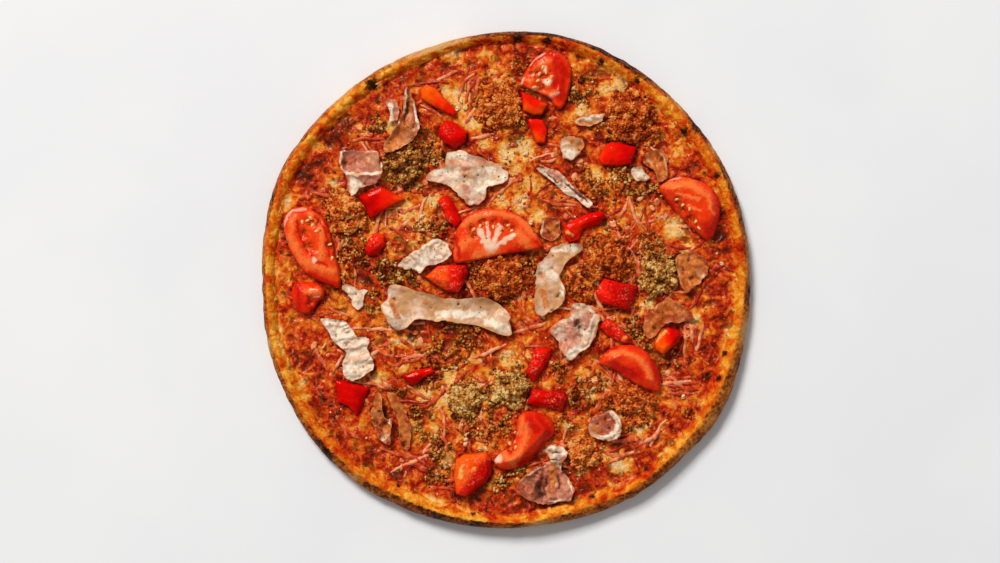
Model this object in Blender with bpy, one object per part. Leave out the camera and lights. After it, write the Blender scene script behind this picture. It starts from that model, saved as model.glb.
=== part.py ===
# A round thin-crust pizza as it comes out of the oven, whole and uncut, about 30 cm across.
# It lies flat on its underside. +Z is up, and the origin is the middle of the underside.
# Lengths in the tables are millimetres, measured from that origin with +X to the right and +Y away.

import math
import random

import bmesh
import bpy
from mathutils import Vector, noise
from mathutils.geometry import delaunay_2d_cdt

MM = 0.001

# Crust: a flat base inside a raised rim
MEAN_RADIUS = 151.0
RIM_REACH = (  # direction in degrees, how far the rim bulges there, how wide the bulge is in degrees
    (75, 3.4, 20), (130, 1.0, 14), (153, 2.9, 13), (181, -1.4, 9),
    (228, 2.8, 22), (301, 2.2, 11), (327, 3.4, 12), (2, -1.7, 18),
)
RIM_WIDTH = 10.5
RIM_WIDENS = (
    (40, 2.0, 16), (95, -3.5, 20), (180, -1.5, 16), (216, 2.0, 12),
    (243, 2.5, 12), (270, -2.5, 9), (290, 2.0, 10), (333, 4.5, 14),
)
CREST_HEIGHT = 13.0
CREST_WAVE = 1.6
BASE_THICKNESS = 5.5
AROUND = 96
RIM_PROFILE = (  # share of the rim's width inwards from its outer edge, height in millimetres
    (1.25, 0.0), (0.50, 0.35), (0.16, 2.4), (0.0, 5.8), (0.09, 9.3), (0.30, 12.0),
    (0.52, CREST_HEIGHT), (0.78, 11.4), (1.0, 8.6), (1.12, BASE_THICKNESS),
)
CREST_FROM = 5.8

# Sauce and cheese: one baked layer that fills the crust up to the foot of the rim
GAP = 0.35
BED_HEIGHT = 8.7
BED_WAVE = 0.7
BED_WAVE_LENGTH = 62.0
BED_SPACING = 14.0
BED_FROM_RIM = 0.6

# Toppings. Each outline is a loop of (x, y), and each entry ends with its thickness, how much of
# that is left at its edge, and how far its waves or its high side lift off the cheese.
TOMATOES = {
    "tomato_1": (((8.5, 119.5), (11, 127), (15, 133.5), (21, 138.5), (29, 140.5), (36, 137),
                  (39.5, 129), (39, 119), (36.5, 110), (32.5, 105), (28.5, 107.5), (26.5, 111),
                  (17, 116)), 6.0, 0.75, 1.0),
    "tomato_2": (((-136, 34), (-134, 41), (-129, 45), (-122, 45), (-114, 41), (-108, 32), (-105, 20),
                  (-102, 8), (-101, 0), (-102, -4), (-107, -3), (-113, -0.5), (-121, 4), (-128, 12),
                  (-133, 22)), 6.5, 0.75, 0.8),
    "tomato_3": (((-31.5, 11.5), (-32, 22), (-31, 30), (-26, 38), (-18, 43), (-8, 44.5), (3, 42.5),
                  (11, 38.5), (17, 31), (22, 21), (12, 18.5), (-5, 15.5), (-18, 13)), 6.5, 0.8, 1.2),
    "tomato_4": (((93, 57), (97, 61), (105, 64), (115, 62.5), (124, 58), (130, 50), (130, 40),
                  (127, 30), (123, 25), (117, 29), (109, 36), (101, 45), (96, 51)), 8.5, 0.45, 0.6),
    "tomato_5": (((56.5, -50), (60, -43), (67, -39), (75, -38.5), (83, -41), (89, -47), (93.5, -56),
                  (94, -66), (91, -67.5), (83, -65), (74, -60), (65, -54)), 8.0, 0.45, 0.6),
    "tomato_6": (((9, -80.5), (15, -79), (22, -80.5), (28, -86), (29.5, -92), (24.5, -98), (17.5, -106),
                  (10, -112), (1, -115), (-6, -113), (-7.5, -109), (-3, -104), (3, -100), (6, -93),
                  (6, -86)), 9.0, 0.4, 0.5),
    "tomato_7": (((-129, -1), (-121, 0), (-113, -2.5), (-111, -8), (-116, -14), (-120, -20),
                  (-127, -18), (-131, -9)), 7.0, 0.55, 0.6),
}
PEPPERS = {
    "pepper_1": (((-53, 117), (-49, 120.5), (-43, 118), (-37, 111), (-30, 103.5), (-32, 100.5),
                  (-38, 103), (-46, 107), (-52, 111)), 5.0, 0.6, 0.8),
    "pepper_2": (((-41, 94), (-37, 98.5), (-31, 97), (-23.5, 91), (-25, 85), (-31, 80.5), (-38, 84),
                  (-42, 89)), 6.0, 0.5, 0.8),
    "pepper_3": (((8.5, 116), (16, 113), (25.5, 108), (22, 102), (17, 101), (10, 103.5)),
                 5.0, 0.6, 3.0),
    "pepper_4": (((12, 99.5), (22, 99), (25, 93), (24, 84), (18, 84), (15, 91)), 4.0, 0.6, 0.4),
    "pepper_5": (((55.5, 75), (60, 83.5), (64, 85.5), (72, 84), (79.5, 82), (76.5, 71.5), (68, 70),
                  (58, 71)), 5.5, 0.6, 1.2),
    "pepper_6": (((-91, 51.5), (-84, 55), (-76.5, 58), (-69, 54), (-61.5, 50), (-69, 46.5),
                  (-76.5, 42), (-83.5, 37.5), (-86, 44.5)), 5.0, 0.6, 1.6),
    "pepper_7": (((-42.5, 49), (-38.5, 53), (-34, 51), (-29, 42), (-26, 36), (-31, 32.5),
                  (-35.5, 36), (-39, 43)), 4.8, 0.6, 0.8),
    "pepper_8": (((-50, 3), (-42, 9.5), (-33, 10.5), (-24, 10.5), (-23, 6), (-26, -2), (-28.5, -7),
                  (-34.5, -7), (-44, -2)), 7.0, 0.6, 1.6),
    "pepper_9": (((34, 34), (40, 37.5), (50, 42), (59, 43), (61, 39.5), (56, 35), (47, 32), (44, 25),
                  (38, 23.5), (35, 28)), 5.0, 0.55, 1.4),
    "pepper_10": (((54, -7), (59, 2.5), (65, 1), (73, -1), (80.5, -3), (78, -11), (74.5, -18),
                   (66, -16), (57, -13)), 6.0, 0.6, 1.6),
    "pepper_11": (((56.5, -28), (60, -22), (65, -24), (71, -30), (76.5, -35), (73, -38), (67, -36.5),
                   (61, -33)), 5.0, 0.6, 1.0),
    "pepper_12": (((17.5, -40), (28, -40.5), (26.5, -47), (21, -56), (17, -62), (11.5, -56),
                   (14.5, -48)), 5.5, 0.6, 1.2),
    "pepper_13": (((15.5, -65), (26, -66.5), (36, -67), (37.5, -71), (34, -79), (24, -77),
                   (12.5, -74.5)), 6.5, 0.6, 1.4),
    "pepper_14": (((-64.5, -57), (-55, -54), (-45, -52), (-43.5, -55), (-50, -59), (-57, -63.5),
                   (-61, -61)), 4.5, 0.6, 1.2),
    "pepper_15": (((-105, -59.5), (-98, -60.5), (-90, -62.5), (-83.5, -65), (-87, -74), (-91, -82.5),
                   (-96, -77), (-103, -74)), 4.5, 0.6, 1.6),
    "pepper_16": (((-31, -108), (-26, -105), (-12, -103.5), (-9, -107), (-9, -118), (-13, -123),
                   (-24, -131), (-31, -130), (-32.5, -118)), 9.5, 0.6, 1.4),
    "pepper_17": (((89.5, -38), (93, -31), (98, -27.5), (104.5, -29), (107.5, -33), (103, -39),
                   (95, -45), (91, -42)), 8.0, 0.55, 0.8),
    "pepper_18": (((-86.5, 18), (-85, 25), (-79, 30.5), (-74, 28), (-74, 22), (-79, 15.5),
                   (-84, 15.5)), 5.0, 0.5, 0.6),
}
MEATS = {
    "ham_1": (((-102.5, 77), (-99, 80.5), (-88, 79.5), (-79, 80), (-76, 74), (-74.5, 66),
               (-78, 62), (-81, 58.5), (-88, 57), (-94, 51.5), (-97, 58), (-98, 65),
               (-101.5, 70)), 2.0, 1.0, 4.0),
    "ham_2": (((-73, -67), (-67, -69), (-61, -80), (-58, -92), (-60, -103), (-65, -98), (-66, -86),
               (-70, -76)), 2.0, 1.0, 1.6),
    "ham_3": (((103, 15), (104, 3), (109, -7.5), (115, -3), (121, 2), (124, 8), (120, 15),
               (112, 19)), 2.0, 1.0, 3.0),
    "ham_4": (((83.5, -23), (90, -16), (98, -9.5), (106, -14), (114, -21), (106, -25), (97, -26),
               (91, -33), (85, -33.5)), 2.2, 1.0, 2.4),
    "ham_5": (((83, 72), (86, 79), (94, 81), (98.5, 74), (98.5, 64), (93, 60.5), (89, 68)),
              2.0, 1.0, 2.4),
    "ham_6": (((23, 39), (31, 39), (33.5, 33), (32, 26), (26, 24.5), (21.5, 28), (20.5, 33)),
              2.0, 1.0, 1.6),
    "bacon_1": (((-62.5, 112), (-60.5, 119), (-57.5, 113), (-54, 101), (-53, 93), (-57, 86),
                 (-66, 80), (-73, 78), (-75.5, 83), (-71.5, 88), (-65, 98), (-63, 105)), 2.2, 1.0, 4.5),
    "bacon_2": (((-74, 110), (-68, 111), (-65.5, 105), (-66.5, 98), (-72, 96.5), (-71, 103)),
                3.0, 0.8, 1.2),
    "bacon_3": (((-49, 62), (-45, 68), (-38, 70), (-37, 78), (-28, 80), (-18, 76.5), (-8, 73),
                 (1, 67), (-1, 60), (-11, 57), (-13, 50), (-22, 45.5), (-29, 52), (-38, 59)),
                2.4, 1.0, 2.6),
    "bacon_4": (((31.5, 84), (36, 88.5), (44, 88), (48, 84), (44, 77), (38, 73.5), (33, 77.5)),
                3.6, 0.8, 1.6),
    "bacon_5": (((41, 97), (47, 101), (55, 102), (61, 102.5), (57, 96.5), (49, 94.5)),
                2.6, 0.9, 3.0),
    "bacon_6": (((17.5, 69), (25, 69.5), (34, 66), (41, 58), (49, 51), (53.5, 46.5), (49.5, 44.5),
                 (43, 50), (34, 54.5), (30, 59), (25, 63)), 2.4, 1.0, 2.4),
    "bacon_7": (((-67, 9), (-60, 16), (-50, 23), (-42, 26), (-35, 22), (-34, 15.5), (-40, 11.5),
                 (-47, 9.5), (-53, 5), (-58, 7)), 4.2, 0.8, 1.4),
    "bacon_8": (((-101, -3), (-97, -1), (-90, -4.5), (-85, -5), (-86, -10), (-89, -17), (-94, -16),
                 (-96, -9)), 4.0, 0.7, 0.8),
    "bacon_9": (((-77.5, -15), (-73, -10.5), (-72.5, -3), (-65, -2), (-55, -5.5), (-42, -8.5),
                 (-33, -10.5), (-26, -10.5), (-14, -9.5), (-5, -13), (1.5, -19), (3, -25), (2.5, -33), (-6, -31.5),
                 (-16, -27.5), (-28, -25.5), (-42, -24.5), (-55, -23), (-61, -28), (-67, -29.5),
                 (-73, -24)), 3.0, 0.9, 4.0),
    "bacon_10": (((17, -17), (18, 7), (21, 12), (27, 20), (33, 23), (45, 22.5), (46, 19), (40, 15),
                  (35, 9.5), (33, 2), (36, -5), (34, -13), (24, -20.5)), 2.6, 0.9, 2.8),
    "bacon_11": (((25.5, -29.5), (32, -24), (38, -21), (40, -13.5), (49, -14), (57, -20.5),
                  (56, -27), (52, -37), (45, -43), (38, -48.5), (33.5, -43), (30, -36)),
                 2.4, 1.0, 4.5),
    "bacon_12": (((-113, -23), (-105, -22.5), (-97, -25), (-90, -33), (-83, -34), (-84, -41),
                  (-81, -48), (-80.5, -52.5), (-91, -60), (-98.5, -58), (-100, -50), (-98, -44),
                  (-105, -37), (-109, -30)), 4.4, 0.8, 2.6),
    "bacon_13": (((-79, -67), (-76, -70), (-75.5, -78), (-72, -84), (-68.5, -82.5), (-70, -90),
                  (-71, -99), (-77, -97), (-80, -90), (-83, -83), (-81, -74)), 3.0, 0.8, 4.0),
    "bacon_14": (((64, -78), (69, -82), (70.5, -89), (68, -95.5), (60, -97), (52.5, -95), (50, -90),
                  (52, -83), (57, -80)), 4.0, 1.0, 2.0),
    "bacon_15": (((7, -129), (7.5, -122), (14, -116), (22, -111.5), (26.5, -112), (26.5, -107.5),
                  (23.5, -103), (26, -100), (33, -100), (37.5, -103), (36, -107.5), (33.5, -112),
                  (38, -119), (41, -126), (39, -134), (32, -134), (26, -137), (14, -134)),
                 3.4, 0.9, 4.2),
    "bacon_16": (((75, 69), (82, 70.5), (85, 66.5), (88, 63), (84, 60.5), (78, 62.5)),
                 3.6, 0.7, 1.0),
}
LOW_SIDE = {  # pieces that lie under a neighbour's edge and so give way to it
    "tomato_1", "tomato_5", "tomato_6", "tomato_7", "bacon_9", "bacon_10", "bacon_12", "ham_6",
}

# Minced meat: the large heaps are pieces of their own (x, y, reach, height)
MINCE_HEAPS = (
    (-1, 109, 15, 8.5), (75, 101, 16, 7.5), (-61, 72, 13, 7.0), (-97, 43, 13, 8.0),
    (-3, 3, 13, 10.0), (62, 13, 14, 7.5), (93, 5, 12, 8.0), (-25, -72, 10, 6.5),
    (3, -66, 11, 6.5), (77, -72, 14, 7.0), (46, -104, 9, 8.5),
)
# The small heaps are baked into the cheese (x, y, reach, number of lumps)
MINCE_SPOTS = (
    (46, 117, 8, 4), (61, 92, 9, 4), (-93, 20, 9, 3), (-75, 7, 7, 3), (-60, 0, 7, 3),
    (-42, 32, 6, 3), (15, 8, 5, 2), (-83, -13, 7, 3), (-30, -36, 14, 4), (-46, -48, 10, 3),
    (-10, -88, 12, 4), (-42, -98, 9, 4), (-42, -115, 8, 3), (-4, -123, 6, 2), (47, -71, 7, 3),
    (79, -28, 7, 3), (88, 21, 8, 3), (80, 57, 8, 3), (33, -54, 7, 2), (100, -47, 6, 2),
    (60, 52, 10, 3),
)
LUMP_REACH = 2.6
HEAP_LUMPS = 4
MINCE_SEED = 11

# Shreds of ham baked into the cheese (x, y, heading in degrees, length, total bend in degrees)
SHREDS = (
    (-95, 86, 10, 21, -20), (-43, 122, 28, 15, 0), (-23, 127, -90, 18, 5), (-17, 125, -97, 17, -8),
    (-19, 106, -128, 12, 10), (-2, 127, 205, 14, 10), (-104, 30, -80, 12, 20), (-75, 39, 12, 24, 12),
    (-72, 29, 30, 16, 10), (-90, -29, 2, 25, -8), (-80, -41, 22, 12, 0), (-66, -34, -36, 14, 0),
    (-64, -47, 8, 20, 10), (-23, -48, 20, 25, 8), (-34, -76, 95, 28, -80), (-26, -81, -105, 13, 0),
    (76, 32, 25, 30, -20), (91, 32, -60, 34, 100), (77, 14, -60, 21, -45), (72, 13, -62, 19, -30),
    (110, -24, -95, 22, 6), (116, -27, -93, 16, -8), (94, -63, 8, 20, -8), (97, -68, -2, 18, 6),
    (37, -66, 30, 21, -6), (72, -99, 0, 27, 42), (76, -104, 4, 22, 12), (-104, -82, -55, 16, -12),
    (-64, -106, -34, 24, 10), (-58, -107, -28, 18, 0), (68, 31, -80, 11, 10), (60, 39, 30, 13, 0),
    (76, 47, 28, 12, 16), (4, -31, 14, 22, 6), (-8, 90, 200, 14, -20), (104, 33, 12, 14, -20),
    (-120, 55, -20, 16, 24), (-118, -38, -70, 18, 20), (40, 132, -30, 16, -20), (-85, 95, 40, 14, 10),
)
SHRED_WIDTH = 2.8
SHRED_THICKNESS = 1.8
SHRED_STEP = 6.5
SHORTEST_SHRED = 11.0

MATERIALS = {  # colour, roughness
    "crust": ((0.55, 0.26, 0.07), 0.75),
    "sauce_and_cheese": ((0.62, 0.18, 0.04), 0.45),
    "tomato": ((0.72, 0.05, 0.02), 0.25),
    "pepper": ((0.70, 0.01, 0.01), 0.22),
    "ham": ((0.55, 0.20, 0.13), 0.45),
    "bacon": ((0.74, 0.56, 0.40), 0.40),
    "mince": ((0.30, 0.12, 0.03), 0.70),
}


def clear_scene():
    for obj in list(bpy.data.objects):
        bpy.data.objects.remove(obj)


def material(name):
    made = bpy.data.materials.get(name)
    if made:
        return made
    colour, roughness = MATERIALS[name]
    made = bpy.data.materials.new(name)
    made.use_nodes = True
    shader = made.node_tree.nodes["Principled BSDF"]
    shader.inputs["Base Color"].default_value = (*colour, 1.0)
    shader.inputs["Roughness"].default_value = roughness
    shader.inputs["Metallic"].default_value = 0.0
    return made


def swell(degrees, bulges):
    """Sum of the bulges at a direction."""
    total = 0.0
    for middle, reach, spread in bulges:
        away = (degrees - middle + 180) % 360 - 180
        total += reach * math.exp(-((away / spread) ** 2))
    return total


def outer_radius(degrees):
    return MEAN_RADIUS + swell(degrees, RIM_REACH)


def rim_width(degrees):
    return RIM_WIDTH + swell(degrees, RIM_WIDENS)


def bed_radius(degrees):
    """How far out the cheese reaches, which is just short of the foot of the rim."""
    return outer_radius(degrees) - 1.12 * rim_width(degrees) - BED_FROM_RIM


def from_rim(point):
    """How far a point lies inside the edge of the cheese."""
    return bed_radius(math.degrees(math.atan2(point.y, point.x))) - point.length


def bed_height(x, y):
    """Height of the cheese, which rises and falls gently."""
    at = Vector((x, y, 0.0)) / BED_WAVE_LENGTH
    return BED_HEIGHT + BED_WAVE * noise.noise(at)


def new_object(name, bm, finish):
    bmesh.ops.recalc_face_normals(bm, faces=bm.faces)
    mesh = bpy.data.meshes.new(name)
    bm.to_mesh(mesh)
    bm.free()
    mesh.materials.append(material(finish))
    obj = bpy.data.objects.new(name, mesh)
    bpy.context.scene.collection.objects.link(obj)
    return obj


def ring_directions():
    return [360.0 * i / AROUND for i in range(AROUND)]


def make_crust():
    """Rings of the rim's profile all the way round, closed by a flat base above and below."""
    bm = bmesh.new()
    rings = []
    for inward, height in RIM_PROFILE:
        ring = []
        for degrees in ring_directions():
            turn = math.radians(degrees)
            radius = outer_radius(degrees) - inward * rim_width(degrees)
            blister = noise.noise(Vector((math.cos(turn), math.sin(turn), 0.3)) * 4.5)
            share = max(0.0, (height - CREST_FROM) / (CREST_HEIGHT - CREST_FROM))
            z = height + CREST_WAVE * blister * share * min(1.0, 1.2 - inward)
            ring.append(bm.verts.new((radius * math.cos(turn) * MM, radius * math.sin(turn) * MM, z * MM)))
        rings.append(ring)
    for low, high in zip(rings, rings[1:]):
        for i in range(AROUND):
            j = (i + 1) % AROUND
            bm.faces.new((low[i], low[j], high[j], high[i]))
    for ring in (rings[0], rings[-1]):
        centre = bm.verts.new((0.0, 0.0, ring[0].co.z))
        for i in range(AROUND):
            bm.faces.new((ring[i], ring[(i + 1) % AROUND], centre))
    return new_object("crust", bm, "crust")


def smooth_loop(points, steps):
    """A closed curve through the points, with this many steps from each to the next."""
    count = len(points)
    curve = []
    for i in range(count):
        before, a, b, after = (Vector(points[(i + k) % count]) for k in (-1, 0, 1, 2))
        for step in range(steps):
            t = step / steps
            curve.append(
                0.5 * (2 * a + (b - before) * t + (2 * before - 5 * a + 4 * b - after) * t**2
                       + (3 * a - before - 3 * b + after) * t**3)
            )
    return curve


def nearest_on(loop, point):
    """The nearest point of a closed loop, and how far it is."""
    best, best_away = None, 1e9
    for a, b in zip(loop, loop[1:] + loop[:1]):
        side = b - a
        share = max(0.0, min(1.0, (point - a).dot(side) / max(side.length_squared, 1e-9)))
        foot = a + side * share
        away = (point - foot).length
        if away < best_away:
            best, best_away = foot, away
    return best, best_away


def inside(loop, point):
    crossings = False
    for a, b in zip(loop, loop[1:] + loop[:1]):
        if (a.y > point.y) != (b.y > point.y):
            if point.x < a.x + (point.y - a.y) * (b.x - a.x) / (b.y - a.y):
                crossings = not crossings
    return crossings


def depth_in(loop, point):
    """How far a point is inside a loop, or minus its distance outside."""
    away = nearest_on(loop, point)[1]
    return away if inside(loop, point) else -away


def give_way(loop, neighbours, clearance):
    """Moves the points of a loop that lie in or too near a neighbour out to that clearance."""
    moved = []
    for point in loop:
        for other in neighbours:
            middle = sum(other, Vector((0, 0))) / len(other)
            if (point - middle).length > 60:
                continue
            foot, away = nearest_on(other, point)
            within = inside(other, point)
            if within or away < clearance:
                out = (foot - point) if within else (point - foot)
                out = out.normalized() if out.length > 1e-6 else (point - middle).normalized()
                point = foot + out * clearance
        moved.append(point)
    return moved


def filled(loop, spacing, keep_in):
    """The loop's points with a staggered grid inside it, and the triangles between them."""
    points = [Vector(p) for p in loop]
    xs, ys = [p.x for p in loop], [p.y for p in loop]
    rows = int((max(ys) - min(ys)) / (spacing * 0.866)) + 2
    columns = int((max(xs) - min(xs)) / spacing) + 2
    for row in range(rows):
        for column in range(columns):
            x = min(xs) + (column + 0.5 * (row % 2)) * spacing
            y = min(ys) + row * spacing * 0.866
            if depth_in(loop, Vector((x, y))) > keep_in * spacing:
                points.append(Vector((x, y)))
    border = list(range(len(loop)))
    edges = list(zip(border, border[1:] + border[:1]))
    made = delaunay_2d_cdt(points, edges, [border], 1, 1e-6)
    return made[0], made[2]


def slab(name, finish, loop, spacing, low, high, keep_in=0.45, flat_under=False):
    """A closed piece over a loop, between a lower and an upper height that are functions of place."""
    points, triangles = filled(loop, spacing, keep_in)
    bm = bmesh.new()
    over = [bm.verts.new((p.x * MM, p.y * MM, high(p) * MM)) for p in points]
    below = points[:len(loop)] if flat_under else points
    under = [bm.verts.new((p.x * MM, p.y * MM, low(p) * MM)) for p in below]
    for a, b, c in triangles:
        bm.faces.new((over[a], over[b], over[c]))
        if not flat_under:
            bm.faces.new((under[a], under[c], under[b]))
    if flat_under:
        bm.faces.new(under)
    for i in range(len(loop)):
        j = (i + 1) % len(loop)
        bm.faces.new((over[i], over[j], under[j], under[i]))
    return new_object(name, bm, finish)


def topping(name, finish, loop, thickness, edge_share, lift, spacing, wave_length):
    """A piece that follows the cheese, with waves that lift it and edges thinner than its middle."""
    phase = 7.0 * (sum(map(ord, name)) % 13)
    middle = sum(loop, Vector((0, 0))) / len(loop)

    def wave(p):
        at = Vector(((p.x + phase) / wave_length, p.y / wave_length, phase))
        return lift * max(0.0, min(1.0, 0.45 + 0.9 * noise.noise(at)))

    def low(p):
        return bed_height(p.x, p.y) + GAP + wave(p)

    def high(p):
        depth = max(0.0, depth_in(loop, p))
        share = edge_share + (1 - edge_share) * min(1.0, depth / 3.0)
        ripple = 1.0 + 0.12 * noise.noise(Vector((p.x - middle.x, p.y - middle.y, phase)) / 6.0)
        return low(p) + thickness * share * ripple

    return slab(name, finish, loop, spacing, low, high)


def place_outlines():
    """Every topping's loop. Pieces that lie lower give way to the ones already placed."""
    tables = {**TOMATOES, **PEPPERS, **MEATS}
    order = [n for n in tables if n not in LOW_SIDE] + [n for n in tables if n in LOW_SIDE]
    placed = {}
    for name in order:
        loop = smooth_loop(tables[name][0], 2)
        placed[name] = give_way(loop, list(placed.values()), 0.8)
    return placed


def make_toppings(placed):
    for table, finish, spacing, wave_length in (
        (TOMATOES, "tomato", 7.0, 30.0), (PEPPERS, "pepper", 7.5, 26.0), (MEATS, None, 6.0, 15.0),
    ):
        for name, (_, thickness, edge_share, lift) in table.items():
            kind = finish or name.split("_")[0]
            topping(name, kind, placed[name], thickness, edge_share, lift, spacing, wave_length)


def heap_outline(x, y, reach, neighbours, draw):
    """A ragged loop round a heap, which stops short of the pieces beside it."""
    loop = []
    count = 14
    for i in range(count):
        turn = 2 * math.pi * i / count
        way = Vector((math.cos(turn), math.sin(turn)))
        wanted = reach * draw.uniform(0.82, 1.12)
        length = 2.0
        while length < wanted:
            tip = Vector((x, y)) + way * (length + 1.0)
            if any(depth_in(other, tip) > -0.9 for other in neighbours):
                break
            length += 0.75
        loop.append(Vector((x, y)) + way * length)
    return loop


def lump(bm, x, y, z, reach, draw):
    """One crumb of meat: an uneven ball of few faces."""
    made = bmesh.ops.create_icosphere(bm, subdivisions=1, radius=reach * MM)
    for vert in made["verts"]:
        vert.co *= draw.uniform(0.82, 1.15)
        vert.co += Vector((x, y, z)) * MM


def fuse(core, bm):
    """Joins the small pieces of a bmesh to a core by one union."""
    pieces = bpy.data.collections.new("pieces")
    bpy.context.scene.collection.children.link(pieces)
    bmesh.ops.recalc_face_normals(bm, faces=bm.faces)
    islands = separate(bm)
    for i, (verts, faces) in enumerate(islands):
        mesh = bpy.data.meshes.new(f"piece_{i}")
        mesh.from_pydata(verts, [], faces)
        pieces.objects.link(bpy.data.objects.new(f"piece_{i}", mesh))
    union = core.modifiers.new("union", "BOOLEAN")
    union.operation = "UNION"
    union.operand_type = "COLLECTION"
    union.collection = pieces
    union.solver = "EXACT"
    bpy.context.view_layer.update()
    graph = bpy.context.evaluated_depsgraph_get()
    joined = bpy.data.meshes.new_from_object(core.evaluated_get(graph))
    core.modifiers.clear()
    core.data = joined
    keep_outer_skin(core)
    for obj in list(pieces.objects):
        bpy.data.objects.remove(obj)
    bpy.data.collections.remove(pieces)


def keep_outer_skin(core):
    """Fills any hollow that the lumps close off and drops anything that floats free."""
    bm = bmesh.new()
    bm.from_mesh(core.data)
    bmesh.ops.triangulate(bm, faces=bm.faces)
    shells = []
    left = set(bm.faces)
    while left:
        stack = [left.pop()]
        shell = list(stack)
        while stack:
            for edge in stack.pop().edges:
                for face in edge.link_faces:
                    if face in left:
                        left.remove(face)
                        stack.append(face)
                        shell.append(face)
        shells.append(shell)
    shells.sort(key=shell_volume)
    spare = [face for shell in shells[:-1] for face in shell]
    bmesh.ops.delete(bm, geom=spare, context="FACES")
    bm.to_mesh(core.data)
    bm.free()


def shell_volume(shell):
    """Volume within a shell of triangles, negative for the skin of a hollow."""
    corners = ([vert.co for vert in face.verts] for face in shell)
    return sum(a.dot(b.cross(c)) for a, b, c in corners) / 6.0


def separate(bm):
    """The connected pieces of a bmesh, each as its points and faces."""
    bm.verts.index_update()
    seen, islands = set(), []
    for start in bm.verts:
        if start in seen:
            continue
        stack, members = [start], []
        seen.add(start)
        while stack:
            vert = stack.pop()
            members.append(vert)
            for edge in vert.link_edges:
                other = edge.other_vert(vert)
                if other not in seen:
                    seen.add(other)
                    stack.append(other)
        number = {vert: i for i, vert in enumerate(members)}
        faces = {face for vert in members for face in vert.link_faces}
        ordered = sorted(faces, key=lambda face: face.index)
        islands.append(
            ([tuple(v.co) for v in members], [[number[v] for v in f.verts] for f in ordered])
        )
    bm.free()
    return islands


def make_heaps(placed, draw):
    """The large heaps of minced meat, each a domed core with lumps fused to it."""
    for number, (x, y, reach, height) in enumerate(MINCE_HEAPS, 1):
        loop = heap_outline(x, y, reach, list(placed.values()), draw)
        placed[f"mince_{number}"] = loop
        middle = Vector((x, y))
        longest = max((p - middle).length for p in loop)

        def low(p):
            return bed_height(p.x, p.y) + GAP

        def high(p):
            dome = max(0.0, 1.0 - ((p - middle).length / (1.15 * longest)) ** 2)
            lumpy = 0.75 + 0.9 * noise.noise(Vector((p.x, p.y, number)) / 5.0)
            return low(p) + max(1.4, height * 0.78 * dome * lumpy)

        core = slab(f"mince_{number}", "mince", loop, 5.5, low, high)
        bm = bmesh.new()
        for _ in range(HEAP_LUMPS):
            turn, share = draw.uniform(0, 2 * math.pi), draw.uniform(0.1, 0.45)
            px = x + math.cos(turn) * share * min((p - middle).length for p in loop)
            py = y + math.sin(turn) * share * min((p - middle).length for p in loop)
            pz = max(high(Vector((px, py))), low(Vector((px, py))) + LUMP_REACH * 1.6)
            lump(bm, px, py, pz - 0.5, LUMP_REACH, draw)
        fuse(core, bm)


def shred_path(shred, neighbours):
    """Points along a shred, cut off where it would meet a piece that lies on the cheese."""
    x, y, heading, length, bend = shred
    steps = max(2, round(length / SHRED_STEP))
    path, at = [], Vector((x, y))
    for i in range(steps + 1):
        crowded = any(depth_in(other, at) > -(SHRED_WIDTH / 2 + 0.9) for other in neighbours)
        if crowded or from_rim(at) < SHRED_WIDTH:
            if len(path) * SHRED_STEP > SHORTEST_SHRED:
                break
            path = []
        else:
            path.append(at.copy())
        turn = math.radians(heading + bend * i / steps)
        at = at + Vector((math.cos(turn), math.sin(turn))) * (length / steps)
    return path


def add_shred(bm, path):
    """A flat strip along the path, half sunk in the cheese."""
    sections = []
    for i, point in enumerate(path):
        ahead = path[min(i + 1, len(path) - 1)] - path[max(i - 1, 0)]
        side = Vector((-ahead.y, ahead.x)).normalized() * SHRED_WIDTH / 2
        base = bed_height(point.x, point.y) - SHRED_THICKNESS * 0.55
        ring = []
        for share, up in ((-1, 0), (1, 0), (0.7, SHRED_THICKNESS), (-0.7, SHRED_THICKNESS)):
            corner = point + side * share
            ring.append(bm.verts.new((corner.x * MM, corner.y * MM, (base + up) * MM)))
        sections.append(ring)
    for a, b in zip(sections, sections[1:]):
        for i in range(4):
            j = (i + 1) % 4
            bm.faces.new((a[i], a[j], b[j], b[i]))
    bm.faces.new(sections[0][::-1])
    bm.faces.new(sections[-1])


def make_bed(placed, draw):
    """Sauce and cheese, with the shreds of ham and the small heaps of meat baked into it."""
    loop = []
    for degrees in ring_directions():
        turn = math.radians(degrees)
        loop.append(Vector((math.cos(turn), math.sin(turn))) * bed_radius(degrees))

    def low(p):
        return BASE_THICKNESS + GAP

    def high(p):
        return bed_height(p.x, p.y)

    bed = slab("sauce_and_cheese", "sauce_and_cheese", loop, BED_SPACING, low, high, 0.6, True)
    neighbours = list(placed.values())
    bm = bmesh.new()
    for shred in SHREDS:
        path = shred_path(shred, neighbours)
        if len(path) > 2:
            add_shred(bm, path)
    for x, y, reach, count in MINCE_SPOTS:
        for _ in range(count):
            for _ in range(12):
                turn, share = draw.uniform(0, 2 * math.pi), draw.uniform(0.0, 0.8)
                point = Vector((x + math.cos(turn) * share * reach, y + math.sin(turn) * share * reach))
                clear = LUMP_REACH * 1.15 + 0.6
                if from_rim(point) > clear and all(depth_in(o, point) < -clear for o in neighbours):
                    lump(bm, point.x, point.y, bed_height(*point) + 0.9, LUMP_REACH, draw)
                    break
    fuse(bed, bm)


def main():
    clear_scene()
    draw = random.Random(MINCE_SEED)
    make_crust()
    placed = place_outlines()
    make_toppings(placed)
    make_heaps(placed, draw)
    make_bed(placed, draw)


main()
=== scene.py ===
import math

import bmesh
import bpy
import numpy as np
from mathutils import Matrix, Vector, noise
from mathutils.geometry import delaunay_2d_cdt


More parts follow.
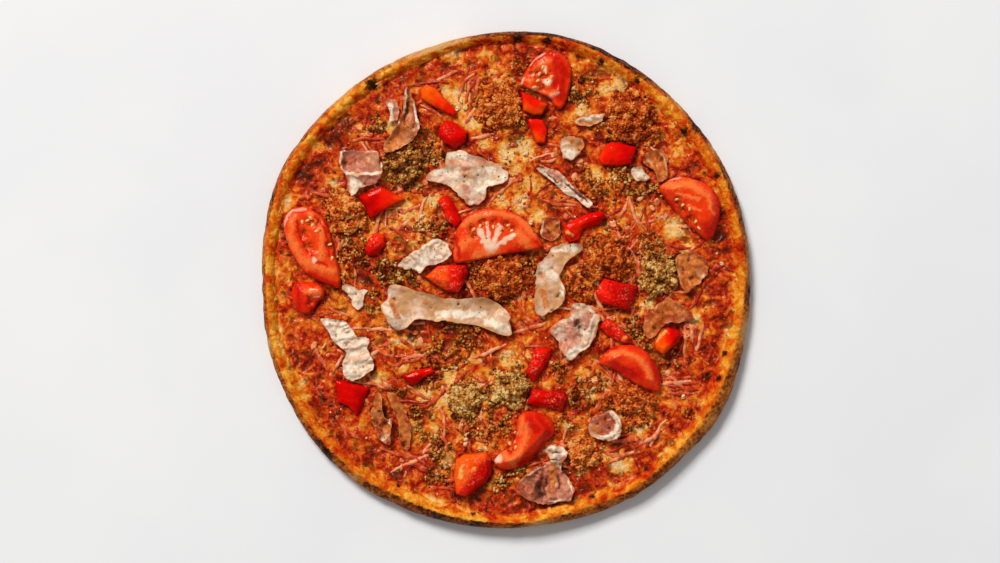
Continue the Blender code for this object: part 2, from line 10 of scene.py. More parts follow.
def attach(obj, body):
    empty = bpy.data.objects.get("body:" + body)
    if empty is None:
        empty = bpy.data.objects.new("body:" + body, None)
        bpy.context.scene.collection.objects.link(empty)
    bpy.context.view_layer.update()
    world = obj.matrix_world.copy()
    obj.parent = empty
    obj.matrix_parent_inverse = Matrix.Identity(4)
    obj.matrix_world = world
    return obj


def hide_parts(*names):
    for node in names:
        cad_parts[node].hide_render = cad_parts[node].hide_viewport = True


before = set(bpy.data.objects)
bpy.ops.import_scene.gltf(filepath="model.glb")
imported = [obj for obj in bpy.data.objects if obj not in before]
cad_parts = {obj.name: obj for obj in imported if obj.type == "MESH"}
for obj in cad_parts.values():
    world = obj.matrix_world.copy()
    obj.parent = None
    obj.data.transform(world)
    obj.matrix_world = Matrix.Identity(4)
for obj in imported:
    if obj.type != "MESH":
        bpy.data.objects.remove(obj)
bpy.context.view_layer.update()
mm = 0.001  # every length below is in millimetres
anyTurn = 6.3  # a little more than one whole turn, for random turns


# small tools for shapes

def softNoise(x, y, size, seed, octaves=1):
    # a smooth random field of about -1 to 1 with features of this size
    total, strength, reach = np.zeros(np.shape(x)), 1.0, 0.0
    for octave in range(octaves):
        table = np.random.default_rng(seed * 13 + octave).uniform(-1, 1, (128, 128))
        u, v = np.asarray(x) / size + 531.3, np.asarray(y) / size + 217.7
        i, j = np.floor(u).astype(int), np.floor(v).astype(int)
        s, t = u - i, v - j
        s, t = s * s * (3 - 2 * s), t * t * (3 - 2 * t)
        i, j, k, m = i % 128, j % 128, (i + 1) % 128, (j + 1) % 128
        low = table[i, j] * (1 - s) + table[k, j] * s
        high = table[i, m] * (1 - s) + table[k, m] * s
        total += strength * (low * (1 - t) + high * t)
        reach += strength
        strength, size = strength * 0.55, size * 0.5
    return total / reach * 1.4


def stepUp(value, low, high):
    # 0 below low, 1 above high, smooth between them
    t = np.clip((value - low) / (high - low), 0, 1)
    return t * t * (3 - 2 * t)


def bend(before, a, b, after, steps):
    # points from a towards b on the smooth curve through all four
    for step in range(steps):
        t = step / steps
        yield 0.5 * (2 * a + (b - before) * t + (2 * before - 5 * a + 4 * b - after) * t**2
                     + (3 * a - before - 3 * b + after) * t**3)


def smoothLoop(points, steps):
    # a closed curve through the points
    count, curve = len(points), []
    for i in range(count):
        curve += bend(*(Vector(points[(i + k) % count]) for k in (-1, 0, 1, 2)), steps)
    return curve


def edgeDistance(loop, x, y):
    # how far each point lies inside a closed loop, less than nothing outside it
    ring = np.array([tuple(p) for p in loop])
    nearest, crossings = np.full(np.shape(x), 1e9), np.zeros(np.shape(x), int)
    for (ax, ay), (bx, by) in zip(ring, np.roll(ring, -1, axis=0)):
        dx, dy = bx - ax, by - ay
        share = np.clip(((x - ax) * dx + (y - ay) * dy) / max(dx * dx + dy * dy, 1e-9), 0, 1)
        nearest = np.minimum(nearest, np.hypot(x - ax - share * dx, y - ay - share * dy))
        if ay != by:
            crosses = ((ay > y) != (by > y)) & (x < ax + (y - ay) * dx / dy)
            crossings += crosses
    return np.where(crossings % 2 == 1, nearest, -nearest)


def giveWay(loop, neighbours, clearance):
    # moves the points that lie in or near a neighbour out to that clearance
    moved = []
    for point in loop:
        for other in neighbours:
            middle = sum(other, Vector((0, 0))) / len(other)
            if (point - middle).length > 60:
                continue
            best, away = None, 1e9
            for a, b in zip(other, other[1:] + other[:1]):
                side = b - a
                share = max(0.0, min(1.0, (point - a).dot(side) / max(side.length_squared, 1e-9)))
                foot = a + side * share
                if (point - foot).length < away:
                    best, away = foot, (point - foot).length
            within = edgeDistance(other, np.array(point.x), np.array(point.y)) > 0
            if within or away < clearance:
                out = best - point if within else point - best
                if out.length <= 1e-6:
                    out = point - middle
                point = best + out.normalized() * clearance
        moved.append(point)
    return moved


def densify(loop, spacing):
    # the same closed line with points at an even spacing
    ring = np.array([tuple(p) for p in loop] + [tuple(loop[0])])
    lengths = np.concatenate([[0], np.cumsum(np.hypot(*np.diff(ring, axis=0).T))])
    count = max(8, int(lengths[-1] / spacing))
    at = np.linspace(0, lengths[-1], count, endpoint=False)
    return np.stack([np.interp(at, lengths, ring[:, 0]), np.interp(at, lengths, ring[:, 1])], axis=1)


def fillLoop(loop, spacing, seed=1, keepIn=0.5):
    # loop points first, then a staggered grid inside, and the triangles between them
    low, high = loop.min(axis=0), loop.max(axis=0)
    rows = int((high[1] - low[1]) / (spacing * 0.866)) + 2
    columns = int((high[0] - low[0]) / spacing) + 2
    row, column = np.mgrid[0:rows, 0:columns]
    x = low[0] + (column + 0.5 * (row % 2)) * spacing
    y = low[1] + row * spacing * 0.866
    shake = np.random.default_rng(seed).uniform(-0.15, 0.15, (2, rows, columns)) * spacing
    x, y = (x + shake[0]).ravel(), (y + shake[1]).ravel()
    keep = edgeDistance(loop, x, y) > keepIn * spacing
    points = np.concatenate([loop, np.stack([x[keep], y[keep]], axis=1)])
    border = list(range(len(loop)))
    edges = list(zip(border, border[1:] + border[:1]))
    made = delaunay_2d_cdt([Vector(p) for p in points], edges, [border], 1, 1e-6)
    return np.array([tuple(p) for p in made[0]]), np.array(made[2])


def makeMesh(name, verts, faces, material, fields=None):
    # verts in millimetres; fields are numbers kept on each point for the material
    mesh = bpy.data.meshes.new(name)
    mesh.from_pydata((np.asarray(verts) * mm).tolist(), [], [list(f) for f in faces])
    mesh.polygons.foreach_set("use_smooth", np.ones(len(mesh.polygons), bool))
    for key, values in (fields or {}).items():
        layer = mesh.attributes.new(key, "FLOAT", "POINT")
        layer.data.foreach_set("value", np.asarray(values, dtype=np.float32))
    mesh.materials.append(material)
    mesh.update()
    obj = bpy.data.objects.new(name, mesh)
    bpy.context.scene.collection.objects.link(obj)
    return obj


def cleaned(obj, weld=0.0, outward=True):
    # joins the points that lie closer than weld, in metres, and turns the faces outward
    bm = bmesh.new()
    bm.from_mesh(obj.data)
    if weld:
        bmesh.ops.remove_doubles(bm, verts=bm.verts, dist=weld)
    if outward:
        bmesh.ops.recalc_face_normals(bm, faces=bm.faces)
    bm.to_mesh(obj.data)
    bm.free()
    return obj


def closedSheet(name, points, triangles, border, low, high, material, fields, crisp=False):
    # a closed piece between two heights over the same filled loop
    count, top = len(points), [tuple(t) for t in triangles]
    upper, ring = np.column_stack([points, high]), list(range(border))
    steps = list(zip(ring, ring[1:] + ring[:1]))
    walls = [(a, b, b + count, a + count) for a, b in steps]
    if np.isscalar(low):
        # a flat underside needs only the border and a middle point
        edge, middle = points[:border], points[:border].mean(axis=0)
        under = np.column_stack([np.vstack([edge, middle]), np.full(border + 1, low)])
        base = [(b + count, a + count, count + border) for a, b in steps]
        extra = {key: np.concatenate([values, values[:border], [0.0]]) for key, values in fields.items()}
        return cleaned(makeMesh(name, np.concatenate([upper, under]), top + walls + base, material, extra))
    verts = np.concatenate([upper, np.column_stack([points, low])])
    under = [(a + count, c + count, b + count) for a, b, c in triangles]
    doubled = {key: np.concatenate([values, values]) for key, values in fields.items()}
    obj = cleaned(makeMesh(name, verts, top + under + walls, material, doubled))
    if crisp:
        ends = np.zeros(2 * len(obj.data.edges), int)
        obj.data.edges.foreach_get("vertices", ends)
        ends = ends.reshape(-1, 2)
        sharp = np.all(ends < border, axis=1) | np.all((ends >= count) & (ends < count + border), axis=1)
        obj.data.edges.foreach_set("use_edge_sharp", sharp)
    return obj


# small tools for materials

def paint(red, green, blue):
    # a colour as a paint program shows it, 0 to 255
    def channel(value):
        value /= 255
        return value / 12.92 if value <= 0.04045 else ((value + 0.055) / 1.055) ** 2.4
    return (channel(red), channel(green), channel(blue), 1.0)


class Tree:
    # a node tree that is being built
    def __init__(self, tree):
        self.tree = tree

    def node(self, kind, inputs=None, **settings):
        made = self.tree.nodes.new(kind)
        for key, value in settings.items():
            setattr(made, key, value)
        for key, value in (inputs or {}).items():
            if isinstance(value, bpy.types.NodeSocket):
                self.tree.links.new(value, made.inputs[key])
            else:
                made.inputs[key].default_value = value
        return made

    def out(self, kind, inputs=None, **settings):
        # adds a node and gives its first output
        return self.node(kind, inputs, **settings).outputs[0]

    def add(self, first, second):
        return self.out("ShaderNodeMath", {0: first, 1: second}, operation="ADD")

    def times(self, first, second):
        return self.out("ShaderNodeMath", {0: first, 1: second}, operation="MULTIPLY")


class Finish(Tree):
    # a material that is being made; colour holds what it shows so far
    usual = {"Roughness": 0.5, "Specular IOR Level": 0.3, "Specular Tint": (1.0, 0.62, 0.32, 1.0),
             "Coat Weight": 0.0, "Coat Roughness": 0.2, "Subsurface Weight": 0.0,
             "Subsurface Radius": (1, 0.3, 0.1), "Subsurface Scale": 2 * mm}

    def __init__(self, name, looks):
        self.made = bpy.data.materials.new(name)
        self.made.use_nodes = True
        super().__init__(self.made.node_tree)
        self.shader = self.tree.nodes["Principled BSDF"]
        for key, value in {**self.usual, **looks}.items():
            self.shader.inputs[key].default_value = value
        self.where = self.node("ShaderNodeTexCoord").outputs["Object"]

    def grain(self, size, detail=3.0, roughness=0.55, distortion=0.0):
        # noise from 0 to 1 with features of this size
        return self.out("ShaderNodeTexNoise", {"Vector": self.where, "Scale": 1000 / size, "Detail": detail,
                                               "Roughness": roughness, "Distortion": distortion})

    def field(self, name):
        return self.node("ShaderNodeAttribute", attribute_name=name).outputs["Fac"]

    def between(self, value, low, high, outLow=0.0, outHigh=1.0):
        return self.out("ShaderNodeMapRange", {"Value": value, "From Min": low, "From Max": high,
                        "To Min": outLow, "To Max": outHigh}, interpolation_type="SMOOTHSTEP")

    def wobble(self, value, by, amount, low=0.3, high=0.7):
        # moves a value up and down by a noise
        return self.add(value, self.between(by, low, high, -amount, amount))

    def mix(self, share, first, second):
        first, second = (paint(*c) if isinstance(c, tuple) else c for c in (first, second))
        return self.node("ShaderNodeMix", {0: share, 6: first, 7: second}, data_type="RGBA").outputs[2]

    def ramp(self, value, *stops):
        # colours along a value, each stop a place and a 0 to 255 colour
        made = self.node("ShaderNodeValToRGB", {"Fac": value})
        elements = made.color_ramp.elements
        while len(elements) < len(stops):
            elements.new(0.5)
        for element, (place, *colour) in zip(elements, stops):
            element.position = place
            element.color = paint(*colour)
        return made.outputs["Color"]

    def over(self, value, low, high, most, colour):
        # lays a colour over what is there where the value goes from low to high
        self.colour = self.mix(self.between(value, low, high, 0.0, most), self.colour, colour)

    def drive(self, key, value):
        self.tree.links.new(value, self.shader.inputs[key])

    def done(self, height, distance, strength):
        # puts the colour and a bump of this height in, and gives the material
        bump = self.out("ShaderNodeBump", {"Height": height, "Distance": distance * mm, "Strength": strength})
        self.drive("Base Color", self.colour)
        self.drive("Normal", bump)
        return self.made


# the crust

crustLook = {
    "meanRadius": 151.0,
    "reach": ((75, 3.4, 20), (130, 1.0, 14), (153, 2.9, 13), (181, -1.4, 9), (228, 2.8, 22), (301, 2.2, 11),
        (327, 3.4, 12), (2, -1.7, 18)),
    "rimWidth": 10.5,
    "rimWidens": ((40, 2.0, 16), (95, -3.5, 20), (180, -1.5, 16), (216, 2.0, 12), (243, 2.5, 12),
        (270, -2.5, 9), (290, 2.0, 10), (333, 4.5, 14)),
    "crestHeight": 13.0, "crestWave": 1.6, "crestFrom": 5.8, "around": 960,
    "profile": ((1.25, 0.0), (0.50, 0.35), (0.16, 2.4), (0.0, 5.8), (0.09, 9.3), (0.30, 12.0), (0.52, 13.0),
        (0.78, 11.4), (1.0, 8.6), (1.12, 5.5)),
    "profileSteps": 5, "blisters": 0.9,
    "bareReach": ((105, 0.28, 13), (88, 0.12, 9), (320, 0.3, 24), (285, 0.1, 14), (226, 0.14, 8),
        (352, 0.12, 9), (200, 0.04, 20), (40, -0.08, 24), (130, -0.05, 14), (20, 0.14, 12), (62, 0.16, 10),
        (245, 0.2, 13), (268, 0.2, 10)),
    # degrees, amount, spread of a lighter crest tone: real yellow-orange baking, and at 112 and 130 degrees
    # painted light on the inner slope that faces away from the key light
    "goldenAndPaintedLight": ((50, 0.35, 20), (130, 0.9, 24), (20, 0.1, 14), (172, 0.3, 12), (200, 0.95, 20),
        (255, 0.9, 16), (285, 0.7, 14), (318, 1.0, 12), (345, 0.6, 12), (0, 0.5, 9), (263, 0.5, 7),
        (82, -0.8, 10), (98, -0.1, 8), (162, -0.3, 8), (228, -0.3, 7), (112, 0.35, 8)),
    # degrees, amount, spread by which the outer slope darkens: partly real burning, partly painted shade of
    # the outer slope
    "scorchedAndShaded": ((80, 0.2, 14), (40, 0.25, 6), (105, -0.3, 12), (122, -0.15, 14), (150, -0.1, 16),
        (200, 0.1, 14), (228, 0.3, 8), (262, 0.14, 14), (288, 0.02, 10), (312, -0.14, 20), (338, -0.12, 12),
        (0, -0.1, 12), (22, 0.1, 10), (60, 0.14, 10), (168, 0.13, 12), (245, 0.1, 10)),
    "charSpots": (  # x, y, reach of each burnt spot
        (-82, 120, 4.5), (79, 122, 2.6), (108, 91, 3.6), (128, 65, 2.4), (93, 96, 2.0), (131, 28, 3.6),
        (85, -114, 2.2), (117, -78, 2.2), (129, -59, 2.2), (-87, -112, 2.6), (-102, -94, 3.2),
        (-108, -88, 2.2), (-122, -60, 2.6), (-97, 100, 3.0), (-102, 91, 4.0), (-107, 83, 3.0),
        (-79, 110, 3.0), (-121, 70, 3.2), (-126, 64, 3.2), (-110, 68, 3.0), (-135, -8, 2.2), (7, 149, 4.5),
        (25, 146, 3.5), (116, 95, 4.5), (-62, 124, 2.4), (-36, 132, 3.0), (-52, 128, 2.4), (58, 134, 2.6),
        (-133, 16, 2.6), (-137, 30, 2.2), (-131, -34, 2.8), (-128, -46, 2.0), (-92, -103, 2.6),
        (-66, -124, 2.0), (120, 56, 2.2), (4, -139, 2.2), (52, -131, 2.0), (-20, -141, 2.0),
        (137, -18, 2.0), (133, -44, 2.0), (101, -98, 2.4),
    ),
    "flourSpots": (  # where pale flour stays on the dough
        (-50, 142, 20), (-100, 112, 14), (108, 106, 9), (-148, 20, 14), (-146, -40, 10), (149, -30, 9),
        (130, 80, 8), (20, -150, 10), (-95, -117, 10),
    ),
}


def swell(degrees, bulges):
    total = 0.0 * degrees
    for middle, reach, spread in bulges:
        away = (degrees - middle + 180) % 360 - 180
        total = total + reach * np.exp(-((away / spread) ** 2))
    return total


def outerRadius(degrees):
    return crustLook["meanRadius"] + swell(degrees, crustLook["reach"])


def rimWidthAt(degrees):
    return crustLook["rimWidth"] + swell(degrees, crustLook["rimWidens"])


def blobs(x, y, spots):
    # how much each point belongs to round spots of (x, y, reach)
    total = np.zeros(np.shape(x))
    for sx, sy, reach in spots:
        total = np.maximum(total, np.exp(-((x - sx) ** 2 + (y - sy) ** 2) / reach**2))
    return total


def crestNoise(degrees):
    turn = np.radians(degrees)
    return np.array([noise.noise(Vector((math.cos(a), math.sin(a), 0.3)) * 4.5) for a in turn])


def crestWave(height, inward, blister):
    # how much the crest is raised or sunk, nothing at the foot of the rim
    low, high = crustLook["crestFrom"], crustLook["crestHeight"]
    share = np.clip((height - low) / (high - low), 0, 1)
    return crustLook["crestWave"] * blister * share * np.minimum(1.0, 1.2 - inward)


def rimHeight(inward, blister):
    # height of the rim's inner side at a share of its width inwards from the edge
    height = np.interp(inward, *zip(*crustLook["profile"][3:]))
    return height + crestWave(height, inward, blister)


bakedShades = (  # from burnt through sauce and toasted cheese to pale cheese
    (0.0, 26, 8, 3), (0.14, 84, 18, 4), (0.27, 166, 22, 3), (0.40, 198, 44, 5), (0.52, 216, 82, 13),
    (0.66, 233, 122, 25), (0.80, 243, 164, 62), (0.92, 238, 186, 118), (1.0, 242, 206, 158))
rimShades = (  # sauce at the foot of the rim up to its golden crest
    (0.0, 26, 8, 3), (0.13, 90, 20, 4), (0.26, 176, 24, 2), (0.40, 206, 50, 4), (0.54, 216, 86, 10),
    (0.68, 228, 116, 18), (0.82, 242, 148, 34), (1.0, 250, 182, 70))


def bakedTone(finish, fineness):
    # breaks the smooth tone up into the same patches on the rim and on the cheese
    broad, patches = finish.grain(17.0, 3, 0.55, 0.6), finish.grain(6.5, 5, 0.6, 0.8)
    flecks = finish.grain(2.2, 4, 0.65, 0.3)
    tone = finish.wobble(finish.field("tone"), broad, 0.12, 0.32, 0.68)
    tone = finish.wobble(tone, patches, 0.24)
    return finish.wobble(tone, flecks, fineness, 0.28, 0.72), flecks


def makeCrustFinish():
    dough = Finish("bakedDough", {"Roughness": 0.6, "Specular IOR Level": 0.18})
    tone, flecks = bakedTone(dough, 0.12)
    speck, big = dough.grain(0.9, 3), dough.grain(12, 4, 0.6)
    dough.colour = dough.ramp(tone, *rimShades)
    # the outer slope is bare dough, tan where flour stays and dark brown where it burnt; its darkening by
    # angle is partly real burning, partly painted shade of the slope
    scorchAndShade = dough.wobble(dough.wobble(dough.field("scorchAndShade"), big, 0.3), flecks, 0.25)
    slope = dough.ramp(scorchAndShade, (0.0, 210, 152, 88), (0.3, 194, 116, 44), (0.55, 162, 78, 20),
                       (0.78, 104, 44, 11), (1.0, 34, 15, 6))
    dough.over(dough.wobble(dough.field("bare"), flecks, 0.2), 0.3, 0.7, 1.0, slope)
    dough.over(speck, 0.63, 0.76, 0.5, (90, 34, 8))
    browned = dough.wobble(dough.field("char"), flecks, 0.35)
    dough.over(browned, 0.3, 0.6, 0.85, (96, 34, 8))
    dough.over(browned, 0.55, 0.85, 0.95, (26, 10, 5))
    dough.colour = dough.mix(dough.field("under"), dough.colour, (176, 122, 66))
    dough.drive("Roughness", dough.between(flecks, 0.3, 0.7, 0.4, 0.75))
    return dough.done(dough.add(flecks, dough.times(speck, 0.45)), 1.3, 0.9)


def toneAcross(x, y, inward):
    # golden on the crest, red where the sauce begins, then mixed, with a ragged edge between them
    ragged = 0.5 * softNoise(x, y, 15, 91, 3) + 0.2 * softNoise(x, y, 4.2, 92, 2)
    inward = inward + ragged * stepUp(inward, 0.15, 0.75)
    tone = np.interp(inward, (0.0, 0.25, 0.5, 0.85, 1.15, 1.5, 2.1),
                     (0.54, 0.6, 0.67, 0.65, 0.47, 0.47, 0.53))
    return tone - 0.13 * stepUp(softNoise(x, y, 9, 93, 2), 0.1, 0.8)


def makeCrust():
    look = crustLook
    degrees = np.arange(look["around"]) * 360.0 / look["around"]
    turn = np.radians(degrees)
    outer, width, blister = outerRadius(degrees), rimWidthAt(degrees), crestNoise(degrees)
    profile, line = [Vector(p) for p in look["profile"]], []
    for k in range(len(profile) - 1):
        line += bend(profile[max(k - 1, 0)], profile[k], profile[k + 1],
                     profile[min(k + 2, len(profile) - 1)], look["profileSteps"])
    line.append(profile[-1])
    bareReach, widest = 0.28 + swell(degrees, look["bareReach"]), look["crestFrom"]
    goldAndPaintedLight, scorchedAndShaded = swell(degrees, look["goldenAndPaintedLight"]), swell(degrees, look["scorchedAndShaded"])
    verts, fields = [], {"tone": [], "bare": [], "scorchAndShade": [], "char": [], "under": []}
    for inward, height in line:
        inward = max(inward, 0.0) if height > 0.5 else inward
        z = height + crestWave(height, inward, blister)
        radius = outer - inward * width
        x, y = radius * np.cos(turn), radius * np.sin(turn)
        crags = softNoise(x + 3 * z, y, 6.0, 5, 3) * look["blisters"] * (1.0 if height > 1 else 0.0)
        dent = np.minimum(crags, 0.25) - 0.3 * (height > 1)
        way = min(1.0, max(-1.0, (height - widest) / 6.0))
        z = np.maximum(z + dent * max(way, 0.0), 0.0)
        radius = radius + dent * (1 - abs(way)) * (1 if inward < 0.5 else -0.4)
        x, y = radius * np.cos(turn), radius * np.sin(turn)
        verts.append(np.stack([x, y, z], axis=1))
        level = inward if height > widest or inward < 0.05 else 0.0
        # the crest tone is lifted here: real baking colour, and painted light on the inner slope at 112 and
        # 130 degrees
        fields["tone"].append(toneAcross(x, y, level) + goldAndPaintedLight * 0.14)
        fields["bare"].append(1 - stepUp(level - bareReach, -0.22, 0.2))
        # the outer slope's darkening: burnt dough and painted shade by angle, lightened where flour stays
        fields["scorchAndShade"].append(0.62 + scorchedAndShaded - blobs(x, y, look["flourSpots"]) * 0.6)
        fields["char"].append(blobs(x, y, look["charSpots"]) * (1 if height > 4 else 0))
        fields["under"].append(np.full(len(x), 1.0 - float(stepUp(np.array(height), 0.4, 4.0))))
    rings, count, faces = len(verts), look["around"], []
    verts = np.concatenate(verts)
    steps = [(i, (i + 1) % count) for i in range(count)]
    for k in range(0, (rings - 1) * count, count):
        faces += [(k + i, k + j, k + count + j, k + count + i) for i, j in steps]
    # a point in the middle closes the underside and the top
    verts = np.concatenate([verts, [[0, 0, verts[0, 2]], [0, 0, verts[-1, 2]]]])
    for first, centre in ((0, len(verts) - 2), ((rings - 1) * count, len(verts) - 1)):
        faces += [(first + i, first + j, centre) for i, j in steps]
    fields = {key: np.concatenate(values + [np.array([0.0, 0.0])]) for key, values in fields.items()}
    fields["under"][-2] = 1.0
    obj = cleaned(makeMesh("crustDough", verts, faces, makeCrustFinish(), fields))
    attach(obj, "root")
    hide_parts("crust")
    print("crust done")


# sauce and cheese

cheeseLook = {
    "height": 8.7, "wave": 0.7, "waveLength": 62.0, "spacing": 0.93,
    "climb": 0.74,  # how far up the rim the sauce reaches, as a share of the rim's width
    "relief": 1.25,
    "sauceSpots": ((30, 84, 12), (112, -50, 15), (36, 70, 9), (-88, 108, 20), (-110, 80, 18),
        (-120, 60, 16), (-128, 30, 12), (-130, -25, 16), (-118, -55, 18), (-105, -80, 16), (-80, -105, 20),
        (-50, -122, 16), (0, -135, 14), (30, -132, 12), (132, -5, 14), (126, -40, 12), (98, -80, 16),
        (130, 15, 10), (-70, 122, 14), (-40, 130, 12), (20, 142, 14), (60, 128, 14), (118, 74, 8),
        (72, 60, 8), (35, 110, 8), (-110, 0, 10), (15, -45, 8), (50, 45, 8)),
    "goldSpots": ((65, 117, 7), (97, 107, 7), (103, 97, 6), (110, 83, 7), (120, 68, 6), (-30, 137, 5),
        (-14, 137, 6), (80, -87, 8), (65, -108, 7), (73, -112, 6), (-45, -86, 8), (-100, -18, 7),
        (-35, -110, 6), (108, 74, 5), (-62, -56, 9), (52, -62, 6), (-20, -58, 12), (10, -48, 8),
        (-58, -38, 7), (94, -95, 6), (-10, -100, 7), (60, 30, 6), (80, 40, 6), (-85, 30, 6)),
    "creamSpots": ((0, 75, 6), (5, 67, 5), (12, 78, 5), (8, 48, 6), (-4, 51, 4), (20, 40, 4), (-60, 42, 6),
        (-52, 38, 5), (102, 33, 5), (110, 20, 4), (88, -14, 4), (115, -23, 4), (-30, 112, 5), (-37, 116, 4),
        (-8, 127, 3.5), (65, 63, 5), (-45, 50, 5), (14, 60, 5), (-14, 84, 4), (-70, 95, 5), (-107, 60, 4),
        (-88, 92, 4), (108, 40, 4), (10, 84, 5), (-20, 96, 4), (84, -16, 3), (-50, -70, 5), (-78, -60, 4),
        (46, -115, 4), (73, -80, 4), (82, -89, 5), (59, -106, 4), (68, -114, 4), (52, -70, 3), (0, -48, 4),
        (60, 117, 4), (68, 119, 5), (47, 105, 4), (55, 64, 4), (116, 7, 3), (104, 31, 4), (-2, 48, 4),
        (-55, 33, 4), (-97, 24, 3), (-60, -90, 4), (-34, -60, 5), (-90, -42, 4), (36, -88, 3),
        (-38, -72, 4)),
    # x, y, reach of painted shadow in the gaps beside and under toppings
    "paintedShadowSpots": ((7, 90, 8), (66, 93, 6), (0, -11, 7), (100, -4, 6), (-20, 5, 6), (12, 10, 5),
        (-50, 88, 7), (-95, 33, 6), (-55, -31, 10), (-30, -32, 8), (83, -78, 6), (-15, -127, 6),
        (-74, -83, 6), (-66, 76, 6), (-70, 68, 5), (28, 46, 5), (60, 2, 7), (50, 14, 6), (-43, -50, 7),
        (-98, 96, 8), (-108, 86, 7), (-124, 66, 7), (-12, 112, 6), (38, -112, 6), (-40, -102, 7),
        (62, -78, 6), (12, -70, 5), (-85, 0, 5)),
}


def cheeseHeight(x, y):
    size = cheeseLook["waveLength"]
    flat = [noise.noise(Vector((a / size, b / size, 0.0))) for a, b in zip(np.ravel(x), np.ravel(y))]
    return cheeseLook["height"] + cheeseLook["wave"] * np.array(flat).reshape(np.shape(x))


def cheeseRelief(x, y):
    # lumps and hollows of the baked surface
    lumps = softNoise(x, y, 8.0, 21, 2)
    stringy = 1 - 2 * np.abs(softNoise(x + 2 * softNoise(x, y, 7, 3), y, 5.0, 22, 2))
    fine = softNoise(x, y, 2.1, 23, 2)
    return cheeseLook["relief"] * (0.65 * lumps + 0.5 * stringy + 0.3 * fine - 0.15)


def makeCheeseFinish():
    cheese = Finish("bakedCheese", {
        "Roughness": 0.42, "Coat Weight": 0.1, "Coat Roughness": 0.1, "Specular IOR Level": 0.28,
        "Specular Tint": (1.0, 0.42, 0.16, 1.0)})
    tone, flecks = bakedTone(cheese, 0.11)
    speck, strings = cheese.grain(0.8, 3), cheese.grain(3.6, 4, 0.6, 1.6)
    cheese.colour = cheese.ramp(tone, *bakedShades)
    # toasted strings of cheese, red oil between them and burnt crumbs
    cheese.over(strings, 0.56, 0.7, 0.5, (242, 168, 96))
    cheese.over(strings, 0.42, 0.3, 0.6, (140, 24, 4))
    # painted shade in the hollows of the relief, deep red
    cheese.over(cheese.field("hollowShade"), 0.15, 0.8, 0.7, (96, 14, 3))
    melted = cheese.mix(cheese.between(flecks, 0.35, 0.65), (238, 158, 54), (250, 208, 128))
    cheese.over(cheese.wobble(cheese.field("melt"), strings, 0.3, 0.35, 0.65), 0.5, 0.85, 0.85, melted)
    # painted shadow beside and under the toppings, with the burnt spots by the rim, near black
    cheese.over(cheese.wobble(cheese.field("dark"), flecks, 0.4), 0.35, 0.9, 0.85, (62, 14, 3))
    cheese.over(speck, 0.64, 0.74, 0.7, (66, 18, 5))
    cheese.drive("Roughness", cheese.between(strings, 0.35, 0.65, 0.2, 0.5))
    return cheese.done(cheese.add(cheese.add(flecks, cheese.times(speck, 0.2)), strings), 0.9, 0.8)


def makeCheese():
    look = cheeseLook
    degrees = np.arange(760) * 360.0 / 760
    turn = np.radians(degrees)
    radius = outerRadius(degrees) - look["climb"] * rimWidthAt(degrees)
    loop = np.stack([radius * np.cos(turn), radius * np.sin(turn)], axis=1)
    points, triangles = fillLoop(loop, look["spacing"], 3)
    x, y = points.T
    melt = blobs(x, y, [(a, b, 1.15 * c) for a, b, c in look["creamSpots"]])
    relief = cheeseRelief(x, y) * (1 - 0.5 * melt)
    top = cheeseHeight(x, y) + relief
    degrees = np.degrees(np.arctan2(y, x))
    inward = (outerRadius(degrees) - np.hypot(x, y)) / rimWidthAt(degrees)
    # the sauce runs a little way up the rim, further in some places than in others
    rim = rimHeight(inward, crestNoise(degrees))
    smear = softNoise(x, y, 11, 41, 3) + (inward - 0.92) * 7
    onRim = inward < 1.16
    climbing = rim + 0.35 * stepUp(smear, -0.1, 0.5) + 0.25 * softNoise(x, y, 2.4, 8)
    top = np.where(onRim, np.maximum(top - 0.3, climbing), top)
    top = np.where(onRim & (smear < -0.1), rim - 0.7, top)
    # painted contact shade: the cheese is darker within a few millimetres of each topping
    contactShade = np.zeros(len(x))
    for outline in outlines.values():
        ring = np.array([tuple(p) for p in outline])
        near = np.all((points > ring.min(axis=0) - 4) & (points < ring.max(axis=0) + 4), axis=1)
        contactShade[near] = np.maximum(contactShade[near], stepUp(edgeDistance(outline, x[near], y[near]), -2.6, 0.4))
    tone = toneAcross(x, y, inward) + 0.08 * softNoise(x, y, 16, 61, 2)
    tone += 0.26 * blobs(x, y, look["goldSpots"]) + 0.42 * blobs(x, y, look["creamSpots"])
    tone -= 0.09 * blobs(x, y, look["sauceSpots"]) + 0.14 * contactShade
    # the same lift runs onto the cheese at the foot of the rim, painted light included
    tone += 0.22 * swell(degrees, crustLook["goldenAndPaintedLight"]) * stepUp(1.3 - inward, 0, 0.5)
    fields = {
        "tone": tone,
        # painted shadow spots, and the crust's burnt spots where they reach the cheese
        "dark": np.maximum(blobs(x, y, look["paintedShadowSpots"]) * 0.9, blobs(x, y, crustLook["charSpots"]) * 0.9),
        # how deep the relief sinks, for painted shade in the hollows
        "hollowShade": stepUp(-relief, 0.1, 1.1),
        "melt": melt,
    }
    obj = closedSheet("bakedCheese", points, triangles, len(loop), 5.7, top, makeCheeseFinish(), fields)
    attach(obj, "root")
    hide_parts("sauce_and_cheese")
    print("sauce and cheese done")


# toppings: shared shape work

